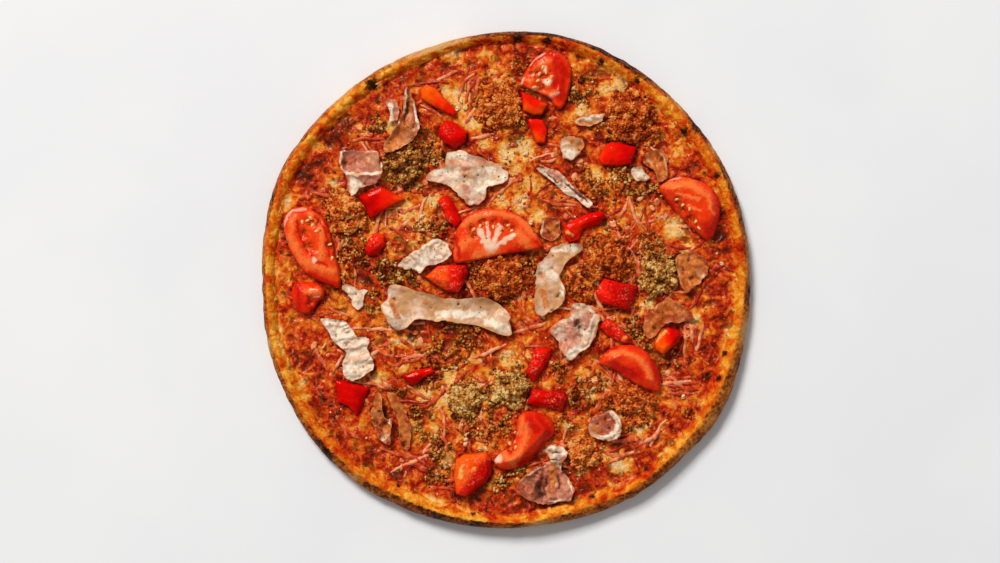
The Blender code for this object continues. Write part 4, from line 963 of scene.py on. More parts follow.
# in each piece, dark lines are painted shade in the folds and hollows, which are also sunk
meatPieces = {
    "ham_1": {
        "outline": ((-102.5, 77), (-99, 80.5), (-88, 79.5), (-79, 80), (-76, 74), (-74.5, 66), (-78, 62),
            (-81, 58.5), (-88, 57), (-94, 51.5), (-97, 58), (-98, 65), (-101.5, 70)),
        "body": (2, 1, 4), "lean": 0.8, "tone": 0.7,
        "pale": ((-101, 79, -101, 70, 1.1), (-101, 70, -97, 65, 1.2), (-99, 80, -78, 80, 0.7),
            (-77, 79, -75, 70, 0.9), (-75, 66, -96, 65, 1.1), (-93, 61, -93, 53, 3),
            (-90, 60, -88, 58, 2.6)),
        "dark": ((-98, 72, 1.8), (-77, 72, 1.6), (-86, 60, 1.6)),
        "folds": ((-101, 78, -99, 66, 1.2, 2.6), (-99, 80, -79, 79.5, 1.2, 1.6),
            (-77, 79, -75, 67, 1.2, 2.4), (-97, 64.5, -76, 64.5, 1.4, 1.8)),
    },
    "ham_2": {
        "outline": ((-73, -67), (-67, -69), (-61, -80), (-58, -92), (-60, -103), (-65, -98), (-66, -86),
            (-70, -76)),
        "body": (2, 1, 1.6), "lean": 1, "tone": 0.05, "toast": ((-68, -72, -62, -98, 5),),
        "dark": ((-66, -94, 2.5), (-68, -80, 2), (-63, -100, 2)), "folds": ((-70, -70, -64, -98, 1.8, 1),),
    },
    "ham_3": {
        "outline": ((103, 15), (104, 3), (109, -7.5), (115, -3), (121, 2), (124, 8), (120, 15), (112, 19)),
        "body": (2, 1, 3), "lean": 0.9, "tone": 0.0, "toast": ((110, 12, 112, -2, 11), (118, 8, 6)),
        "pale": ((104, 10, 105, 3, 0.6), (117, 7, 119, 4, 2.4)),
        "dark": ((111, 13, 1.8), (107, 8, 1.6), (113, 2, 1.4)),
        "folds": ((106, 14, 107, 2, 1.0, 1.6), (104, 12, 105, 2, 1.2, 1.6), (105, 2, 109, -6, 1.2, 1.4),
            (110, 8, 113, -3, 1.4, 1.2), (113, 14, 117, 10, 2, 1)),
    },
    "ham_4": {
        "outline": ((83.5, -23), (90, -16), (98, -9.5), (106, -14), (114, -21), (106, -25), (97, -26),
            (91, -33), (85, -33.5)),
        "body": (2.2, 1, 2.4), "lean": 0.85, "tone": 0.02, "toast": ((88, -28, 98, -16, 8), (106, -18, 6)),
        "pale": ((103, -16, 1.4),), "dark": ((90, -28, 2.5),),
        "folds": ((92, -18, 100, -12, 2, 1.2), (86, -30, 95, -20, 1.6, 1.4)),
    },
    "ham_5": {
        "outline": ((83, 72), (86, 79), (94, 81), (98.5, 74), (98.5, 64), (93, 60.5), (89, 68)),
        "body": (2, 1, 2.4), "lean": 0.95, "tone": 0.22, "toast": ((91, 77, 94, 63, 7),),
        "pale": ((92, 80, 97.5, 72, 0.6), (97.5, 72, 98, 65, 0.7), (86, 74, 89, 71, 1.2)),
        "dark": ((94, 74, 1.8),),
        "folds": ((92, 80, 97, 72, 1.1, 1.8), (97, 72, 97.5, 65, 1.1, 1.6), (87, 77, 92, 72, 1.2, 1.2),
            (92, 72, 92, 64, 1.2, 1)),
    },
    "ham_6": {
        "outline": ((23, 39), (31, 39), (33.5, 33), (32, 26), (26, 24.5), (21.5, 28), (20.5, 33)),
        "body": (2, 1, 1.6), "lean": 0.95, "tone": 0.08, "toast": ((28, 32, 5),),
        "pale": ((22, 38, 21, 30, 1.2),), "dark": ((26, 30, 1.6), (31, 34, 1.2)),
        "folds": ((24, 28, 31, 34, 2, 0.8),),
    },
    "bacon_1": {
        "outline": ((-62.5, 112), (-60.5, 119), (-57.5, 113), (-54, 101), (-53, 93), (-57, 86), (-66, 80),
            (-73, 78), (-75.5, 83), (-71.5, 88), (-65, 98), (-63, 105)),
        "body": (2.2, 1, 4.5), "lean": 0.55, "tone": 0.24,
        "toast": ((-73, 81, -62, 92, 5.5), (-61, 94, -58.5, 110, 2.4)),
        "pale": ((-60.5, 118, -62, 105, 0.7), (-62, 105, -66, 97, 0.8), (-57.5, 113, -54.5, 101, 0.7),
            (-54.5, 101, -53.5, 92, 1.0)),
        "dark": ((-60.5, 108, -62, 96, 1.2), (-57, 94, 1.2)),
        "folds": ((-60.5, 118, -62, 105, 1.1, 2.8), (-62, 105, -66, 97, 1.2, 2.4),
            (-66, 97, -73, 85, 1.3, 1.8), (-57.5, 113, -53.8, 97, 1.1, 2.6)),
    },
    "bacon_2": {
        "outline": ((-74, 110), (-68, 111), (-65.5, 105), (-66.5, 98), (-72, 96.5), (-71, 103)),
        "body": (3, 0.8, 1.2), "lean": 0.45, "tone": 0.7, "pale": ((-71, 108, -70, 98, 1.6),),
        "folds": ((-70, 109, -69, 98, 1.6, 1),),
    },
    "bacon_3": {
        "outline": ((-49, 62), (-45, 68), (-38, 70), (-37, 78), (-28, 80), (-18, 76.5), (-8, 73), (1, 67),
            (-1, 60), (-11, 57), (-13, 50), (-22, 45.5), (-29, 52), (-38, 59)),
        "body": (2.4, 1, 2.6), "lean": 0.36, "tone": 0.75, "crumple": 0.6,
        "pale": ((-35, 77, -26, 76, 3), (-44, 66, -30, 68, 2), (-15, 60, -3, 62, 4), (-14, 55, -22, 60, 3),
            (-20, 67, -8, 68, 2.4)),
        "dark": ((-25, 64, 1), (-17, 65, 0.9), (-31, 61, 0.8)),
        "folds": ((-37, 71, -14, 70, 2, 1.3), (-40, 61, -22, 66, 1.8, 1), (-20, 52, -6, 62, 2, 1),
            (-33, 77, -20, 76, 2, 1)),
    },
    "bacon_4": {
        "outline": ((31.5, 84), (36, 88.5), (44, 88), (48, 84), (44, 77), (38, 73.5), (33, 77.5)),
        "body": (3.6, 0.8, 1.6), "lean": 0.05, "tone": 0.5, "toast": ((40, 86, 3), (45, 83, 3)),
        "pale": ((35, 78, 40, 77, 3),), "dark": ((44, 80, 1.2),), "folds": ((34, 82, 42, 86, 2, 1),),
    },
    "bacon_5": {
        "outline": ((41, 97), (47, 101), (55, 102), (61, 102.5), (57, 96.5), (49, 94.5)),
        "body": (2.6, 0.9, 3), "lean": 0.1, "tone": 0.65, "toast": ((45, 96.5, 53, 96.5, 1.6),),
        "pale": ((43, 98, 58, 101, 1.6),), "folds": ((43, 98, 58, 101, 1.2, 1.2),),
    },
    "bacon_6": {
        "outline": ((17.5, 69), (25, 69.5), (34, 66), (41, 58), (49, 51), (53.5, 46.5), (49.5, 44.5),
            (43, 50), (34, 54.5), (30, 59), (25, 63)),
        "body": (2.4, 1, 2.4), "lean": 0.5, "tone": 0.95, "crumple": 1.7,
        "pale": ((18.5, 69, 30, 61, 1.2), (30, 61, 34, 56, 1.2), (34, 56, 44, 51, 1)),
        "dark": ((23, 66.5, 32, 60.5, 0.8), (36, 60, 46, 51, 0.9), (45, 53, 50, 48, 0.7)),
        "folds": ((19, 69, 30, 61, 1.1, 1.6), (30, 61, 36, 55, 1.1, 1.4), (27, 67, 42, 56, 1.2, 1.2)),
    },
    "bacon_7": {
        "outline": ((-67, 9), (-60, 16), (-50, 23), (-42, 26), (-35, 22), (-34, 15.5), (-40, 11.5),
            (-47, 9.5), (-53, 5), (-58, 7)),
        "body": (4.2, 0.8, 1.4), "lean": 0.03, "tone": 1.0, "pleats": (24, 4.4, 1.1),
        "pale": ((-62, 13, -48, 20, 3), (-48, 20, -38, 22, 2), (-52, 12, -40, 15, 2)),
        "dark": ((-40, 20, 1.2),),
        "folds": ((-60, 14, -46, 22, 1.6, 1.2), (-50, 11, -38, 17, 1.6, 0.8)),
    },
    "bacon_8": {
        "outline": ((-101, -3), (-97, -1), (-90, -4.5), (-85, -5), (-86, -10), (-89, -17), (-94, -16),
            (-96, -9)),
        "body": (4, 0.7, 0.8), "lean": 0.15, "tone": 1.0,
        "pale": ((-98, -4, -90, -7, 2), (-92, -13, -89, -9, 2)), "dark": ((-92, -8, 1),),
        "folds": ((-99, -4, -94, -7, 1.5, 1.4), (-92, -14, -89, -10, 1.5, 1.2), (-88, -6, -86, -8, 1.2, 1)),
    },
    "bacon_9": {
        "outline": ((-77.5, -15), (-73, -10.5), (-72.5, -3), (-65, -2), (-55, -5.5), (-42, -8.5),
            (-33, -10.5), (-26, -10.5), (-14, -9.5), (-5, -13), (1.5, -19), (3, -25), (2.5, -33),
            (-6, -31.5), (-16, -27.5), (-28, -25.5), (-42, -24.5), (-55, -23), (-61, -28), (-67, -29.5),
            (-73, -24)),
        "body": (3, 0.9, 4), "lean": 0.06, "tone": 0.56, "crumple": 0.55,
        "toast": ((-70, -12, -66, -22, 2), (-50, -13, 2.4)),
        "pale": ((-66, -21, -60, -26, 2.6), (-42, -20, -14, -20, 2.6), (-12, -24, 0, -29, 3),
            (-74, -14, -70, -20, 2.4)),
        "dark": ((-30, -13.5, 1), (-68, -11, 1.5), (-46, -16, 0.8), (2, -18, 1)),
        "folds": ((-76, -16, -66, -28, 1.6, 1.2), (-70, -3, -40, -8, 1.4, 1), (-50, -24, -6, -28, 1.4, 0.9),
            (-2, -13, 2, -24, 1.2, 0.9)),
    },
    "bacon_10": {
        "outline": ((17, -17), (18, 7), (21, 12), (27, 20), (33, 23), (45, 22.5), (46, 19), (40, 15),
            (35, 9.5), (33, 2), (36, -5), (34, -13), (24, -20.5)),
        "body": (2.6, 0.9, 2.8), "lean": 0.08, "tone": 0.45, "crumple": 0.65,
        "toast": ((22, -6, 24, -14, 2.4), (21, 4, 2)),
        "pale": ((29, 20, 40, 20, 3), (23, 8, 28, 3, 3.4), (33, -2, 34, -8, 1.8)),
        "dark": ((27, 8.5, 1), (31, -9, 1.6), (28, -17, 1.2)),
        "folds": ((20, 8, 30, 14, 2, 1), (34, 0, 35, -10, 1.2, 1.4), (40, 22, 42, 14, 2, 0.9)),
    },
    "bacon_11": {
        "outline": ((25.5, -29.5), (32, -24), (38, -21), (40, -13.5), (49, -14), (57, -20.5), (56, -27),
            (52, -37), (45, -43), (38, -48.5), (33.5, -43), (30, -36)),
        "body": (2.4, 1, 4.5), "lean": 0.6, "tone": 0.8,
        "pale": ((40, -14, 54, -17, 1.6), (54, -22, 49, -36, 2.6), (38, -44, 46, -40, 2.6),
            (30, -31, 36, -26, 1.4)),
        "dark": ((43, -25, 3), (45, -28, 1.6), (36, -36, 1.2)),
        "folds": ((38, -21, 44, -32, 1.3, 2.6), (28, -31, 38, -22, 1.4, 1.2), (52, -24, 48, -38, 1.4, 1.8),
            (36, -42, 46, -38, 1.6, 1.2)),
    },
    "bacon_12": {
        "outline": ((-113, -23), (-105, -22.5), (-97, -25), (-90, -33), (-83, -34), (-84, -41), (-81, -48),
            (-80.5, -52.5), (-91, -60), (-98.5, -58), (-100, -50), (-98, -44), (-105, -37), (-109, -30)),
        "body": (4.4, 0.8, 2.6), "lean": 0.05, "tone": 1.0, "pleats": (-62, 4.4, 1.2),
        "pale": ((-108, -25, -98, -28, 3), (-102, -36, -90, -34, 2), (-98, -44, -86, -43, 2),
            (-95, -54, -85, -52, 3)),
        "dark": ((-104, -32, 1.2), (-97, -38.5, 0.9), (-87, -52, 0.8)),
        "folds": ((-109, -26, -98, -29, 1.6, 1.6), (-105, -35, -92, -33, 1.4, 1.8),
            (-101, -41, -85, -38, 1.4, 1.6), (-98, -48, -83, -47, 1.4, 1.5),
            (-97, -55, -84, -53, 1.8, 1.2)),
    },
    "bacon_13": {
        "outline": ((-79, -67), (-76, -70), (-75.5, -78), (-72, -84), (-68.5, -82.5), (-70, -90),
            (-71, -99), (-77, -97), (-80, -90), (-83, -83), (-81, -74)),
        "body": (3, 0.8, 4), "lean": 0.75, "tone": 0.05, "crumple": 2.2,
        "toast": ((-77, -72, -80, -84, 4), (-73, -90, 4)),
        "pale": ((-76, -68, -75.5, -76, 0.7), (-75.5, -76, -79, -82, 0.6), (-71, -83, -70, -90, 0.8),
            (-73, -93, -75, -96, 1.6)),
        "dark": ((-73, -86, 2.2), (-79, -86, 1.6), (-77, -79, 1.4), (-76, -91, 1.4)),
        "folds": ((-76, -68, -75.5, -77, 1.1, 2), (-76, -77, -81, -83, 1.1, 1.6),
            (-70, -84, -71, -97, 1.2, 1.8)),
    },
    "bacon_14": {
        "outline": ((64, -78), (69, -82), (70.5, -89), (68, -95.5), (60, -97), (52.5, -95), (50, -90),
            (52, -83), (57, -80)),
        "body": (4, 1, 2), "lean": 0.66, "tone": 0.5, "crumple": 1.6, "toast": ((54, -90, 2.6),),
        "pale": ((64, -79.5, 68.5, -85, 2.2), (68.5, -85, 67.5, -92, 2.6), (67.5, -92, 63, -95, 2.4),
            (63, -95, 55, -94.5, 1.6)),
        "dark": ((62, -88, 2.2), (60, -83, 1.8), (55, -87, 1.4)),
        "folds": ((64, -79.5, 68.5, -85, 1.4, 2.4), (68.5, -85, 67.5, -92, 1.5, 2.8),
            (67.5, -92, 63, -95, 1.4, 2.4), (63, -95, 54, -94.5, 1.3, 1.6), (53, -85, 58, -89, 1.4, 1.2),
            (57, -81, 60, -85, 1.2, 1)),
    },
    "bacon_15": {
        "outline": ((7, -129), (7.5, -122), (14, -116), (22, -111.5), (26.5, -112), (26.5, -107.5),
            (23.5, -103), (26, -100), (33, -100), (37.5, -103), (36, -107.5), (33.5, -112), (38, -119),
            (41, -126), (39, -134), (32, -134), (26, -137), (14, -134)),
        "body": (3.4, 0.9, 4.2), "lean": 1, "tone": 0.55, "crumple": 2,
        "toast": ((29, -112, 27, -128, 2.6),),
        "pale": ((26, -102, 34.5, -102.5, 4), (29.5, -106, 30, -112, 2.8), (9, -119, 24, -111.5, 0.5),
            (25, -134, 36, -133, 0.6), (33, -114, 37, -113, 1.2), (38, -121, 40, -130, 0.6)),
        "dark": ((19.5, -124.5, 20.2, -130, 4.2), (22, -120, 1.6), (24, -120, 23, -128, 1.3),
            (31, -118, 32, -126, 1), (28, -104.5, 33, -104.5, 0.7), (27, -108.5, 32, -108.8, 0.7),
            (35, -116, 2)),
        "folds": ((26, -102, 35, -102.5, 2.2, 2.2), (30, -105, 29.5, -113, 2, 1.8),
            (12, -119, 22, -112, 1.2, 1), (14, -131, 21, -118, 1.2, 1.8), (27, -115, 27, -133, 1.8, 3),
            (33, -117, 37, -131, 2, 1.6), (9, -121, 14, -132, 1.4, 1.4), (25, -134, 36, -133, 1, 1.2)),
    },
    "bacon_16": {
        "outline": ((75, 69), (82, 70.5), (85, 66.5), (88, 63), (84, 60.5), (78, 62.5)),
        "body": (3.6, 0.7, 1), "lean": 0.05, "tone": 0.8, "pale": ((78, 68, 82, 66, 2),),
        "folds": ((77, 69, 82, 66, 1.6, 1), (81, 63, 86, 63, 1.4, 0.8)),
    },
}


# pieces that give way to their neighbours
lowSide = ("bacon_10", "bacon_12", "bacon_9", "ham_6", "tomato_1", "tomato_5", "tomato_6", "tomato_7")


def makeMeatFinish():
    meat = Finish("curedMeat", {
        "Roughness": 0.34, "Coat Weight": 0.12, "Coat Roughness": 0.2, "Subsurface Weight": 0.1,
        "Subsurface Radius": (1.0, 0.5, 0.35)})
    fine, mid, big = meat.grain(1.2, 4, 0.6), meat.grain(4.5, 4, 0.6, 0.8), meat.grain(13, 2)
    # fat runs from tan to nearly white, lean from brown-red to mauve pink
    tone = meat.wobble(meat.field("tone"), mid, 0.18)
    meat.colour = meat.mix(meat.between(tone, 0.4, 1.0), (206, 148, 96), (244, 216, 190))
    meat.over(big, 0.45, 0.65, 0.5, (222, 174, 144))
    lean = meat.mix(meat.between(tone, 0.15, 0.85), (164, 52, 14), (206, 130, 102))
    lean = meat.mix(meat.between(fine, 0.5, 0.72, 0.0, 0.5), lean, (222, 150, 116))
    meat.over(meat.wobble(meat.field("lean"), mid, 0.22), 0.3, 0.7, 1.0, lean)
    cream = meat.mix(meat.between(mid, 0.36, 0.6), (222, 174, 128), (250, 230, 206))
    meat.over(meat.field("pale"), 0.25, 0.75, 1.0, cream)
    browned = meat.mix(meat.between(mid, 0.3, 0.7), (178, 72, 18), (224, 132, 58))
    meat.over(meat.wobble(meat.field("toast"), mid, 0.25), 0.25, 0.8, 0.85, browned)
    meat.over(meat.wobble(meat.field("rim"), mid, 0.35), 0.55, 1.05, 0.7, (206, 136, 78))
    # painted shade in the folds and hollows, near black where the dark lines are strongest
    dark = meat.wobble(meat.field("dark"), fine, 0.15)
    meat.over(dark, 0.3, 0.9, 0.85, (92, 36, 14))
    meat.over(dark, 0.8, 1.1, 0.8, (34, 10, 6))
    meat.over(fine, 0.66, 0.76, 0.45, (150, 96, 56))
    meat.drive("Roughness", meat.between(mid, 0.3, 0.7, 0.24, 0.5))
    return meat.done(meat.add(fine, meat.times(mid, 1.2)), 0.5, 0.7)


def makeMeats():
    finish = makeMeatFinish()
    for number, (name, look) in enumerate(meatPieces.items(), 1):
        sheet, x, y, depth, low = spreadTopping(name, look, 0.72, 0.9, 100 + number, 15.0)
        thickness, edgeShare, _ = look["body"]
        rise = np.zeros(len(x))
        for ax, ay, bx, by, width, height in look["folds"]:
            rise = np.maximum(rise, 0.8 * height * lines(x, y, ((ax, ay, bx, by, width * 1.25),)))
        wrinkles = 0.5 * softNoise(x, y, 3.0, 31 + number, 2) + 0.5 * softNoise(x, y, 9, 51 + number)
        wrinkles -= 0.8 * np.abs(softNoise(x + 0.6 * y, y, 6.0, 91 + number, 2))
        wrinkles *= look.get("crumple", 1.15)
        if "pleats" in look:
            heading, spacing, pleat = look["pleats"]
            along = x * math.cos(math.radians(heading)) + y * math.sin(math.radians(heading))
            along += 4.5 * softNoise(x, y, 8, 21 + number, 2)
            waves = pleat * np.abs(np.sin(np.pi * along / spacing))
            rise += waves * (0.5 + 0.9 * softNoise(x, y, 6, 23 + number))
        curl = 1.2 * np.exp(-((depth / 1.6) ** 2)) * stepUp(softNoise(x, y, 8, 71 + number), -0.3, 0.4)
        # dark lines give painted shade, and below they also sink the top
        fields = {key: lines(x, y, look.get(key, ())) for key in ("pale", "dark", "toast")}
        fields["lean"] = np.clip(look["lean"] + 0.3 * softNoise(x, y, 6, 35 + number, 2), 0, 1)
        fields["tone"] = np.clip(look["tone"] + 0.2 * softNoise(x, y, 10, 36 + number), 0, 1)
        fields["rim"] = np.exp(-depth / 0.9)
        thick = thickness * (edgeShare if edgeShare < 1 else 1.0)
        high = np.maximum(low + thick - 0.5 + rise + wrinkles + curl - 0.8 * fields["dark"], low + 0.5)
        solid = 1.5 - 0.7 * np.exp(-depth / 0.8)
        under = np.maximum(low - 0.25, high - solid - rise * 0.6)
        kind, count = name.split("_")
        obj = closedSheet(f"{kind}Piece{count}", *sheet, under, high, finish, fields, crisp=True)
        finishTopping(obj, name, x, y, high)
    print("ham and bacon done")


# node trees that repeat small things

class Grower(Tree):
    # a geometry tree with named inputs: a float, a whole number, or None for a material
    kinds = {float: "NodeSocketFloat", int: "NodeSocketInt", type(None): "NodeSocketMaterial"}

    def __init__(self, name, sockets):
        super().__init__(bpy.data.node_groups.new(name, "GeometryNodeTree"))
        self.tree.is_modifier = True
        make = self.tree.interface.new_socket
        make("Geometry", in_out="OUTPUT", socket_type="NodeSocketGeometry")
        make("Geometry", in_out="INPUT", socket_type="NodeSocketGeometry")
        for label, value in sockets.items():
            socket = make(label, in_out="INPUT", socket_type=self.kinds[type(value)])
            if value is not None:
                socket.default_value = value
        self.inputs = self.node("NodeGroupInput").outputs
        self.end = self.node("NodeGroupOutput")

    def random(self, low, high):
        # a random vector for each copy
        return self.out("FunctionNodeRandomValue", {0: low, 1: high, "Seed": self.inputs["Seed"]},
                        data_type="FLOAT_VECTOR")

    def copies(self, points, shape, turns, sizes, lift=None):
        # copies of a shape on points, each with its own turn, size and tone, made real
        turned = self.out("FunctionNodeEulerToRotation", {0: self.random(*turns)})
        made = self.out("GeometryNodeInstanceOnPoints", {
            "Points": points, "Instance": shape, "Scale": self.random(*sizes), "Rotation": turned})
        tone = self.node("FunctionNodeRandomValue", {2: 0.0, 3: 1.0, "Seed": self.inputs["Seed"]},
                         data_type="FLOAT").outputs[1]
        named = self.out("GeometryNodeStoreNamedAttribute", {
            "Geometry": made, "Name": "tone", "Value": tone if lift is None else self.add(tone, lift)},
            data_type="FLOAT", domain="INSTANCE")
        return self.out("GeometryNodeRealizeInstances", {"Geometry": named})

    def shaken(self, geometry, size):
        # moves each point by a noise, so that the copies differ from each other
        place = self.out("GeometryNodeInputPosition")
        cloud = self.node("ShaderNodeTexNoise", {
            "Vector": place, "W": self.inputs["Seed"], "Scale": 1000 / size, "Detail": 2.0},
            noise_dimensions="4D").outputs["Color"]
        centred = self.out("ShaderNodeVectorMath", {0: cloud, 1: (0.5, 0.5, 0.5)}, operation="SUBTRACT")
        offset = self.out("ShaderNodeVectorMath", {0: centred, "Scale": self.inputs["Unevenness"]},
                          operation="SCALE")
        return self.out("GeometryNodeSetPosition", {"Geometry": geometry, "Offset": offset})

    def close(self, geometry):
        # makes all copies real, shades them smooth and gives them the material
        real = self.out("GeometryNodeRealizeInstances", {"Geometry": geometry})
        smooth = self.out("GeometryNodeSetShadeSmooth", {"Geometry": real})
        dressed = self.out("GeometryNodeSetMaterial", {
            "Geometry": smooth, "Material": self.inputs["Material"]})
        self.tree.links.new(dressed, self.end.inputs[0])
        return self.tree


def growTree(obj, tree, values):
    # runs the tree on the object and keeps the result as a plain mesh
    modifier = obj.modifiers.new("grow", "NODES")
    modifier.node_group = tree
    for socket in tree.interface.items_tree:
        if socket.item_type == "SOCKET" and socket.in_out == "INPUT" and socket.name in values:
            modifier[socket.identifier] = values[socket.name]
    graph = bpy.context.evaluated_depsgraph_get()
    grown = bpy.data.meshes.new_from_object(obj.evaluated_get(graph))
    obj.modifiers.clear()
    obj.data = grown
    return obj


# minced meat

minceLook = {
    "crumbSize": 2.1, "crumbsPerArea": 180000.0, "gritSize": 0.95, "gritPerArea": 300000.0,
    "unevenness": 2.0,
    "heaps": {  # node: seed, share of olive, how much paler
        "mince_1": (3, 0.12, 0.42), "mince_2": (4, 0.2, 0.05), "mince_3": (5, 0.85, -0.2),
        "mince_4": (6, 0.25, 0.55), "mince_5": (7, 0.15, 0.0), "mince_6": (8, 0.2, 0.0),
        "mince_7": (9, 1.0, 0.1), "mince_8": (10, 0.9, 0.3), "mince_9": (11, 1.0, 0.35),
        "mince_10": (12, 0.05, 0.15), "mince_11": (13, 0.15, 0.6),
    },
    "spots": (  # x, y, reach, crumbs, olive
        (46, 117, 8, 46, 1.0), (61, 92, 9, 30, 0.6), (-93, 20, 10, 46, 0.6), (-75, 7, 7, 40, 1.0),
        (-62, 2, 8, 46, 1.0), (-42, 32, 7, 36, 0.8), (15, 8, 5, 14, 0.7), (-83, -13, 7, 30, 0.9),
        (-30, -36, 15, 70, 0.7), (-46, -48, 11, 50, 0.3), (-10, -88, 12, 56, 0.6), (-42, -98, 9, 40, 0.8),
        (-42, -116, 8, 36, 0.8), (-4, -123, 6, 18, 0.9), (47, -71, 8, 34, 0.7), (79, -28, 7, 30, 0.9),
        (88, 21, 9, 44, 0.8), (80, 57, 9, 44, 0.9), (33, -54, 7, 26, 0.5), (100, -47, 6, 14, 0.4),
        (60, 52, 10, 40, 0.4), (8, 133, 5, 24, 0.1), (-45, 78, 8, 40, 0.9), (57, 22, 8, 34, 0.8),
        (-55, -85, 9, 46, 0.8), (-47, -60, 8, 34, 0.2), (42, -66, 7, 26, 0.6), (84, -38, 6, 16, 0.7),
        (6, -116, 5, 12, 0.9), (-20, -31, 6, 18, 0.6), (-104, 50, 8, 30, 0.6), (-8, 97, 8, 30, 0.2),
        (12, 100, 6, 22, 0.2), (70, 66, 8, 26, 0.6), (45, 62, 9, 30, 0.3), (44, 0, 9, 36, 0.2),
        (48, -8, 7, 24, 0.2), (-100, 8, 8, 26, 0.4), (-78, 97, 6, 20, 0.7), (95, 56, 5, 18, 0.9),
        (-66, -66, 6, 16, 0.4), (33, -88, 6, 16, 0.3), (-24, -88, 6, 22, 0.5), (38, 112, 5, 14, 0.9),
        (-15, 0, 6, 20, 0.4), (-20, 8, 5, 14, 0.5), (-6, -12, 6, 16, 0.5), (24, 92, 5, 10, 0.3),
        (-52, 30, 6, 20, 0.7), (112, -80, 4, 8, 0.5), (20, -98, 3, 6, 0.5), (-98, -70, 4, 8, 0.3),
        (55, -62, 5, 14, 0.8),
    ),
    "perClump": 5, "strayCrumbs": 300, "strayReach": 134, "skirtCrumbs": 90,
}


def makeMinceFinish(name, *shades):
    mince = Finish(name, {"Roughness": 0.5, "Coat Weight": 0.05})
    fine, mid = mince.grain(0.8, 4, 0.7), mince.grain(5.0, 4)
    tone = mince.add(mince.times(mince.field("tone"), 0.62), 0.2)
    mince.colour = mince.ramp(mince.wobble(mince.wobble(tone, mid, 0.4), fine, 0.22), *shades)
    mince.drive("Roughness", mince.between(fine, 0.3, 0.7, 0.3, 0.75))
    return mince.done(mince.add(fine, mid), 1.0, 1.0)


def makeHeapTree():
    # big crumbs on the sunk heap, and grit on those
    heap = Grower("minceHeap", {
        "Crumb Size": 0.0015, "Crumbs Per Area": 300000.0, "Grit Size": 0.0008, "Grit Per Area": 600000.0,
        "Unevenness": 0.001, "Paler": 0.0, "Seed": 1, "Material": None})
    inputs = heap.inputs
    base = heap.out("GeometryNodeSetPosition", {"Geometry": inputs["Geometry"], "Offset": (0, 0, -0.0012)})
    for kind, rounds, unevenSize in (("Crumb", 2, 1.6), ("Grit", 1, 1.0)):
        amount = inputs["Crumbs Per Area" if kind == "Crumb" else "Grit Per Area"]
        facing = heap.node("ShaderNodeSeparateXYZ", {0: heap.out("GeometryNodeInputNormal")}).outputs[2]
        upward = heap.out("FunctionNodeCompare", {0: facing, 1: 0.0}, operation="GREATER_THAN")
        points = heap.out("GeometryNodeDistributePointsOnFaces", {
            "Mesh": base, "Selection": upward, "Density": amount, "Seed": inputs["Seed"]},
            distribute_method="RANDOM")
        ball = heap.out("GeometryNodeMeshIcoSphere", {
            "Radius": inputs[kind + " Size"], "Subdivisions": rounds})
        crumbs = heap.copies(points, ball, ((-anyTurn, -anyTurn, 0), (anyTurn,) * 3),
                             ((0.45,) * 3, (1.4,) * 3), inputs["Paler"])
        joined = heap.node("GeometryNodeJoinGeometry", {"Geometry": base})
        heap.tree.links.new(heap.shaken(crumbs, unevenSize), joined.inputs[0])
        base = joined.outputs[0]
    return heap.close(base)


def makeScatterTree():
    # copies of a rough crumb on given points, flattened by Height
    crumbs = Grower("looseCrumbs", {
        "Crumb Size": 0.0015, "Height": 1.0, "Smallest": 0.5, "Unevenness": 0.001, "Tilt": 3.1, "Seed": 1,
        "Rounds": 2, "Material": None})
    inputs = crumbs.inputs
    ball = crumbs.out("GeometryNodeMeshIcoSphere", {"Radius": inputs["Crumb Size"],
                                                    "Subdivisions": inputs["Rounds"]})
    squash = crumbs.out("ShaderNodeCombineXYZ", {0: 1.0, 1: 0.75, 2: inputs["Height"]})
    shape = crumbs.out("GeometryNodeTransform", {"Geometry": ball, "Scale": squash})
    low = crumbs.out("ShaderNodeCombineXYZ", {axis: inputs["Smallest"] for axis in range(3)})
    spin = crumbs.out("ShaderNodeCombineXYZ", {0: inputs["Tilt"], 1: inputs["Tilt"], 2: anyTurn})
    back = crumbs.out("ShaderNodeVectorMath", {0: spin, "Scale": -1.0}, operation="SCALE")
    real = crumbs.copies(inputs["Geometry"], shape, (back, spin), (low, (1.2, 1.2, 1.2)))
    return crumbs.close(crumbs.shaken(real, 0.9))


def lineMesh(name, places, edges=()):
    # points in millimetres, and lines between them, for a tree to grow on
    mesh = bpy.data.meshes.new(name)
    mesh.from_pydata([(x * mm, y * mm, z * mm) for x, y, z in places], list(edges), [])
    obj = bpy.data.objects.new(name, mesh)
    bpy.context.scene.collection.objects.link(obj)
    return obj


def scattered(name, places, tree, material, size, height, smallest, unevenness, tilt, seed, rounds=2):
    # one mesh of crumbs on these places; size and unevenness are in millimetres
    return growTree(lineMesh(name, places), tree, {
        "Crumb Size": size * mm, "Height": height, "Smallest": smallest, "Unevenness": unevenness * mm,
        "Tilt": tilt, "Seed": seed, "Rounds": rounds, "Material": material})


def spotsIn(draw, reach, count):
    # random places in a disc
    away, turn = reach * np.sqrt(draw.uniform(0, 1, count)), draw.uniform(0, anyTurn, count)
    return away * np.cos(turn), away * np.sin(turn)


def clearOfToppings(x, y, room):
    return np.all([edgeDistance(loop, x, y) < -room for loop in outlines.values()], axis=0)


def surfaceAt(x, y):
    return cheeseHeight(x, y) + cheeseRelief(x, y)


